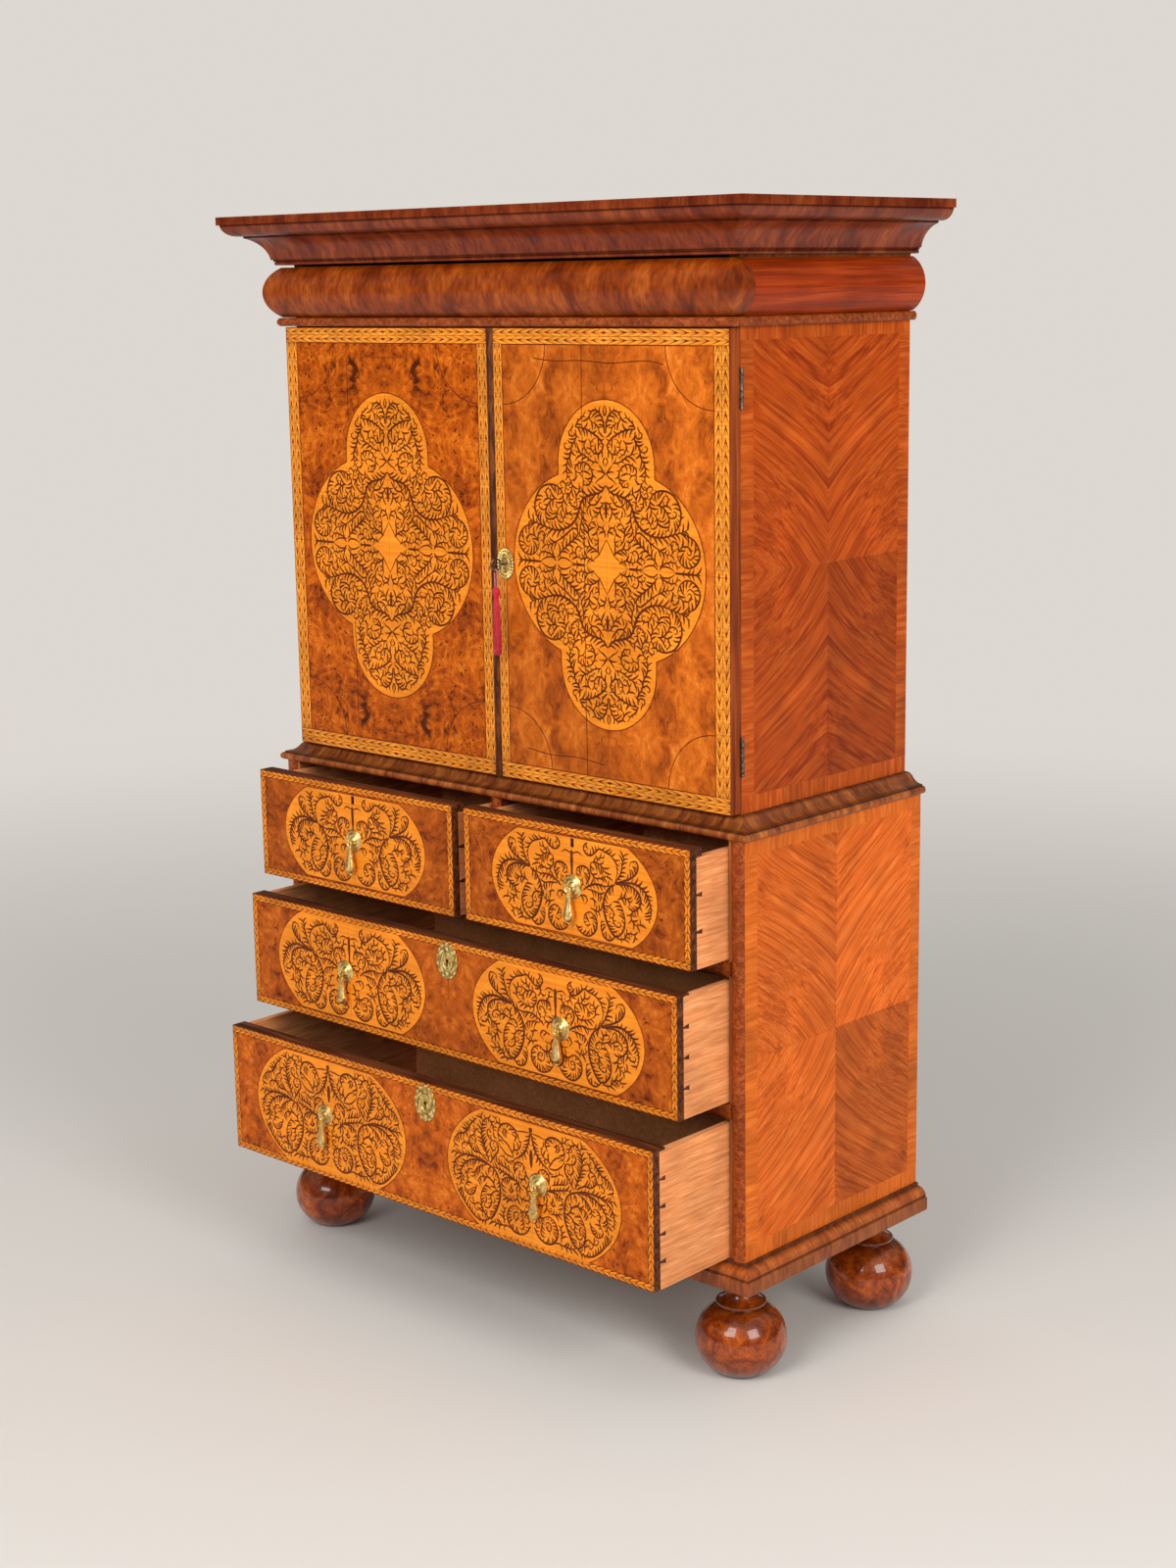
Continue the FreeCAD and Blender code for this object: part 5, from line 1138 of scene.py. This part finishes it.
# Tassel. A silk cord looped over the key's bow carries a tassel of crimson silk threads, bound
# below its head by a few turns of the same thread.
def silk(name, tones):
    """Twisted silk on the piece's tone attribute and object place: fine upright streaks, soft sheen at the
    edges."""
    made, tree, shader = finish_of(
        name, Specular_IOR_Level=0.35, Roughness=0.5, Sheen_Weight=0.4, Sheen_Roughness=0.4
    )
    place = add(tree, "TexCoord")["Object"]
    scaled = add(tree, "Mapping", {"Vector": place, "Scale": (1400, 1400, 160)})["Vector"]
    streak = add(tree, "TexNoise", {"Vector": scaled, "Scale": 1.0, "Detail": 2.0})["Fac"]
    spots = ((0.32, tones[0]), (0.5, tones[1]), (0.68, tones[2]))
    tinted(tree, shader, add(tree, "ValToRGB", {"Fac": streak}, stops=spots)["Color"])
    return made


# Silk: dyed crimson, with fine streaks and a soft sheen; on the tassel's head the tops of the wound thread are
# painted bright and the grooves between deep red, as painted highlight and painted shade.
crimson_silk = silk("crimson_silk", ("#8A0012", "#BE0020", "#DC1434"))
pink_silk = silk("pink_silk_cord", ("#B85060", "#D87888", "#EAA0A8"))
hang_x, hang_y = 27.0, -145.8
cord_path = ((24.3, 1227.5), (24.3, 1246), (24.3, 1256.2), (29.7, 1256.2), (29.7, 1246), (29.7, 1227.5))
cord_line = bpy.data.curves.new("tassel_silk_cord", "CURVE")
cord_line.dimensions = "3D"
spline = cord_line.splines.new("NURBS")
spline.points.add(len(cord_path) - 1)
spline.points.foreach_set("co", np.array([(x, hang_y, z, 1000) for x, z in cord_path]).ravel() / 1000)
spline.order_u = 3
spline.use_endpoint_u = True
spline.resolution_u = 12
cord_line.bevel_depth, cord_line.bevel_resolution = 0.0008, 3
cord_line.use_fill_caps = True
cord_line.materials.append(pink_silk)
cord = bpy.data.objects.new("tassel_silk_cord", cord_line)
scene.collection.objects.link(cord)
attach(cord, "tassel")
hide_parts("tassel_cord")


def wound_head(heights, radii, ridges, depth):
    """A turned shape closed at both ends by a point: each height's circle of its radius, cut by upright
    ridges whose depth goes as the cosine of the angle, so that the thread laid over the head shows."""
    sides = 4 * ridges
    angle = np.arange(sides) * 2 * np.pi / sides
    r = np.asarray(radii)[1:-1, None] + depth * np.cos(ridges * angle)
    rings = np.stack(
        [hang_x + r * np.cos(angle), hang_y + r * np.sin(angle), 0 * r + heights[1:-1, None]], -1
    )
    ends = np.array([[hang_x, hang_y, heights[0]], [hang_x, hang_y, heights[-1]]])
    rows = len(rings)
    k = np.arange(rows * sides).reshape(rows, sides)
    a, b = k[:-1], np.roll(k, -1, 1)[:-1]
    c, d = np.roll(k, -1, 1)[1:], k[1:]
    quads = np.stack([a, d, c, b], -1).reshape(-1, 4).tolist()
    peak, foot = rows * sides, rows * sides + 1
    caps = np.stack([k[0], np.roll(k[0], -1), 0 * k[0] + peak], -1).tolist()
    caps += np.stack([np.roll(k[-1], -1), k[-1], 0 * k[-1] + foot], -1).tolist()
    # Tones follow the ridges: painted highlight on their tops and painted shade in the grooves between.
    tones = np.r_[np.broadcast_to(0.25 * np.cos(ridges * angle), (rows, sides)).ravel(), 0, 0]
    return np.vstack([rings.reshape(-1, 3), ends]), quads + caps, tones


head_z = np.array([1227.5, 1227.2, 1225.5, 1222.5, 1219, 1216, 1214, 1213, 1212, 1211, 1210, 1209])
head_r = np.array([0, 2.6, 4.8, 6.1, 6.2, 5.4, 4.3, 4.2, 4.5, 4.2, 4.5, 0.0])
points, faces, tones = wound_head(head_z, head_r, ridges=18, depth=0.16)
head = piece("tassel_head", points / 1000, faces, tones, crimson_silk, "tassel")
head.data.shade_smooth()
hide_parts("tassel")


def hanging_threads(count, top, foot, chance):
    """Skirt threads: five-sided tubes from the binding down, spread by the golden angle, each fuller towards
    the hem and swaying a little as the sine of its length; closed by a flat face at each end."""
    golden, stations, sides = 2.39996, 9, 5
    i = np.arange(count)
    turn, out = golden * i, np.sqrt((i + 0.5) / count)
    s = np.linspace(0, 1, stations)
    spread = out[:, None] * (3.6 + 3.4 * s**0.5)
    sway = 0.5 * np.sin(2.2 * np.pi * s + chance.uniform(0, 6.3, (count, 1))) * s
    x = hang_x + spread * np.cos(turn)[:, None] + sway
    y = hang_y + spread * np.sin(turn)[:, None] + 0.6 * sway
    z = top + (foot + chance.uniform(0, 3, (count, 1)) - top) * s
    around = np.arange(sides) * 2 * np.pi / sides
    ring = np.stack([np.cos(around), np.sin(around), 0 * around], -1) * 0.52
    points = np.stack([x, y, z], -1)[:, :, None] + ring
    k = np.arange(count * stations * sides).reshape(count, stations, sides)
    nxt = np.roll(k, -1, 2)
    quads = np.stack([k[:, :-1], k[:, 1:], nxt[:, 1:], nxt[:, :-1]], -1).reshape(-1, 4).tolist()
    caps = k[:, 0].tolist() + k[:, -1, ::-1].tolist()
    tones = np.repeat(chance.uniform(-0.25, 0.3, count), stations * sides)
    return points.reshape(-1, 3), quads + caps, tones


points, faces, tones = hanging_threads(count=110, top=1210, foot=1116.8, chance=np.random.default_rng(5))
skirt = piece("tassel_skirt", points / 1000, faces, tones, crimson_silk, "tassel")
skirt.data.shade_smooth()


# Frieze and cornice. The cushion front is a drawer faced with cross-cut figured walnut, its returns
# are glued to the sides, and the cornice is cross-grain walnut on pine in three mitred lengths.
cabinet_mitre = (493, -97.5)
# The cushion's bands are painted shade along its lower and upper edges and a painted highlight on its round; the
# cornice's are painted shade in the quirks and painted highlight on the rounds.
cushion_bands = ((1653, 0.6), (1662, 0.95), (1690, 1.0), (1728, 1.05), (1737, 0.7))
cushion_walnut = crossgrain(
    "figured_walnut_frieze", ("#6C2602", "#903A06", "#B05414"), *cabinet_mitre, ring=34,
    bands=cushion_bands, along=60,
)
return_walnut = timber(
    "walnut_frieze_returns", ("#862A04", "#9E3408", "#B24412"), ring=8, run=260, along="Y", fibre=0.4,
    gloss=0.34, level=0.18,
)
cornice_bands = (
    *((1741, 0.5), (1743.5, 1.0), (1746.5, 0.5), (1750, 0.55), (1752, 0.85), (1775, 1.15), (1785, 1.05)),
    *((1787, 0.6), (1790, 0.6), (1791.5, 0.9), (1804, 1.0), (1807, 0.55), (1809, 0.55), (1810.5, 0.85)),
    *((1820, 0.8), (1822.5, 1.0)),
)
cornice_walnut = crossgrain(
    "crossgrain_walnut_cornice", ("#661F06", "#84320E", "#A04818"), *cabinet_mitre, ring=30, bands=cornice_bands
)
dress(cushion_walnut, "frieze_drawer_front")
dress(return_walnut, "frieze_cushions")
dress(cornice_walnut, "cornice_moulding")


# Floor and light. A plain pale floor, a pale surround, a broad soft lamp above the camera's left
# shoulder and a weaker one to the right; the two lamps and the sky together light a face fully.
floor_mesh = bpy.data.meshes.new("floor")
floor_mesh.from_pydata([(-9, -9, 0), (9, -9, 0), (9, 9, 0), (-9, 9, 0)], [], [(0, 1, 2, 3)])
floor = bpy.data.objects.new("floor", floor_mesh)
scene.collection.objects.link(floor)
pale_floor, tree, shader = finish_of("pale_floor", Roughness=0.8, Specular_IOR_Level=0.2)
shader.inputs["Base Color"].default_value = ink("#DAD6CF")
# Further out the floor turns into the pale surround, like a paper sweep.
away = add(tree, "VectorMath", {0: add(tree, "TexCoord")["Object"]}, operation="LENGTH")["Value"]
sweep = {"Value": away, "From Min": 1.2, "From Max": 5.5}
far = add(tree, "MapRange", sweep, interpolation_type="SMOOTHSTEP")["Result"]
paper = add(tree, "Emission", {"Color": ink("#DDD8D1"), "Strength": 1.0})[0]
swept = add(tree, "MixShader", {0: far, 1: shader.outputs[0], 2: paper})[0]
tree.links.new(swept, tree.nodes["Material Output"].inputs["Surface"])
floor_mesh.materials.append(pale_floor)
world = bpy.data.worlds.new("surround")
scene.world = world
world.use_nodes = True
tree = world.node_tree
rays = add(tree, "LightPath")
direct = {0: rays["Is Camera Ray"], 1: rays["Is Transmission Ray"]}
seen = add(tree, "Math", direct, operation="MAXIMUM")[0]
sky = add(tree, "Background", {"Color": ink("#FFFFFF"), "Strength": 0.55})[0]
way = add(tree, "SeparateXYZ", {"Vector": add(tree, "TexCoord")["Generated"]})["Z"]
wall_tones = ((0.0, "#3A332C"), (0.25, "#5A5248"), (0.6, "#A8A298"), (1.0, "#E4E0DA"))
wall = add(tree, "ValToRGB", {"Fac": way}, stops=wall_tones)["Color"]
studio = add(tree, "Background", {"Color": wall, "Strength": 1.0})[0]
backdrop = add(tree, "Background", {"Color": ink("#DDD8D1"), "Strength": 1.0})[0]
mixed = add(tree, "MixShader", {0: rays["Is Glossy Ray"], 1: sky, 2: studio})[0]
mixed = add(tree, "MixShader", {0: seen, 1: mixed, 2: backdrop})[0]
tree.links.new(mixed, tree.nodes["World Output"].inputs["Surface"])
for name, spot, aim, size, watts in (
    ("key_lamp", (0.9, -4.6, 3.6), (0, 0, 0.9), 2.6, 165),
    ("fill_lamp", (4.6, -1.2, 2.8), (0, 0, 0.9), 2.2, 120),
):
    lamp = bpy.data.lights.new(name, "AREA")
    lamp.shape, lamp.size, lamp.energy = "SQUARE", size, watts
    holder = bpy.data.objects.new(name, lamp)
    scene.collection.objects.link(holder)
    back = np.array(spot) - np.array(aim)
    back /= np.linalg.norm(back)
    across = np.cross([0, 0, 1], back)
    across /= np.linalg.norm(across)
    holder.matrix_world = standing(across, np.cross(back, across), back, spot)
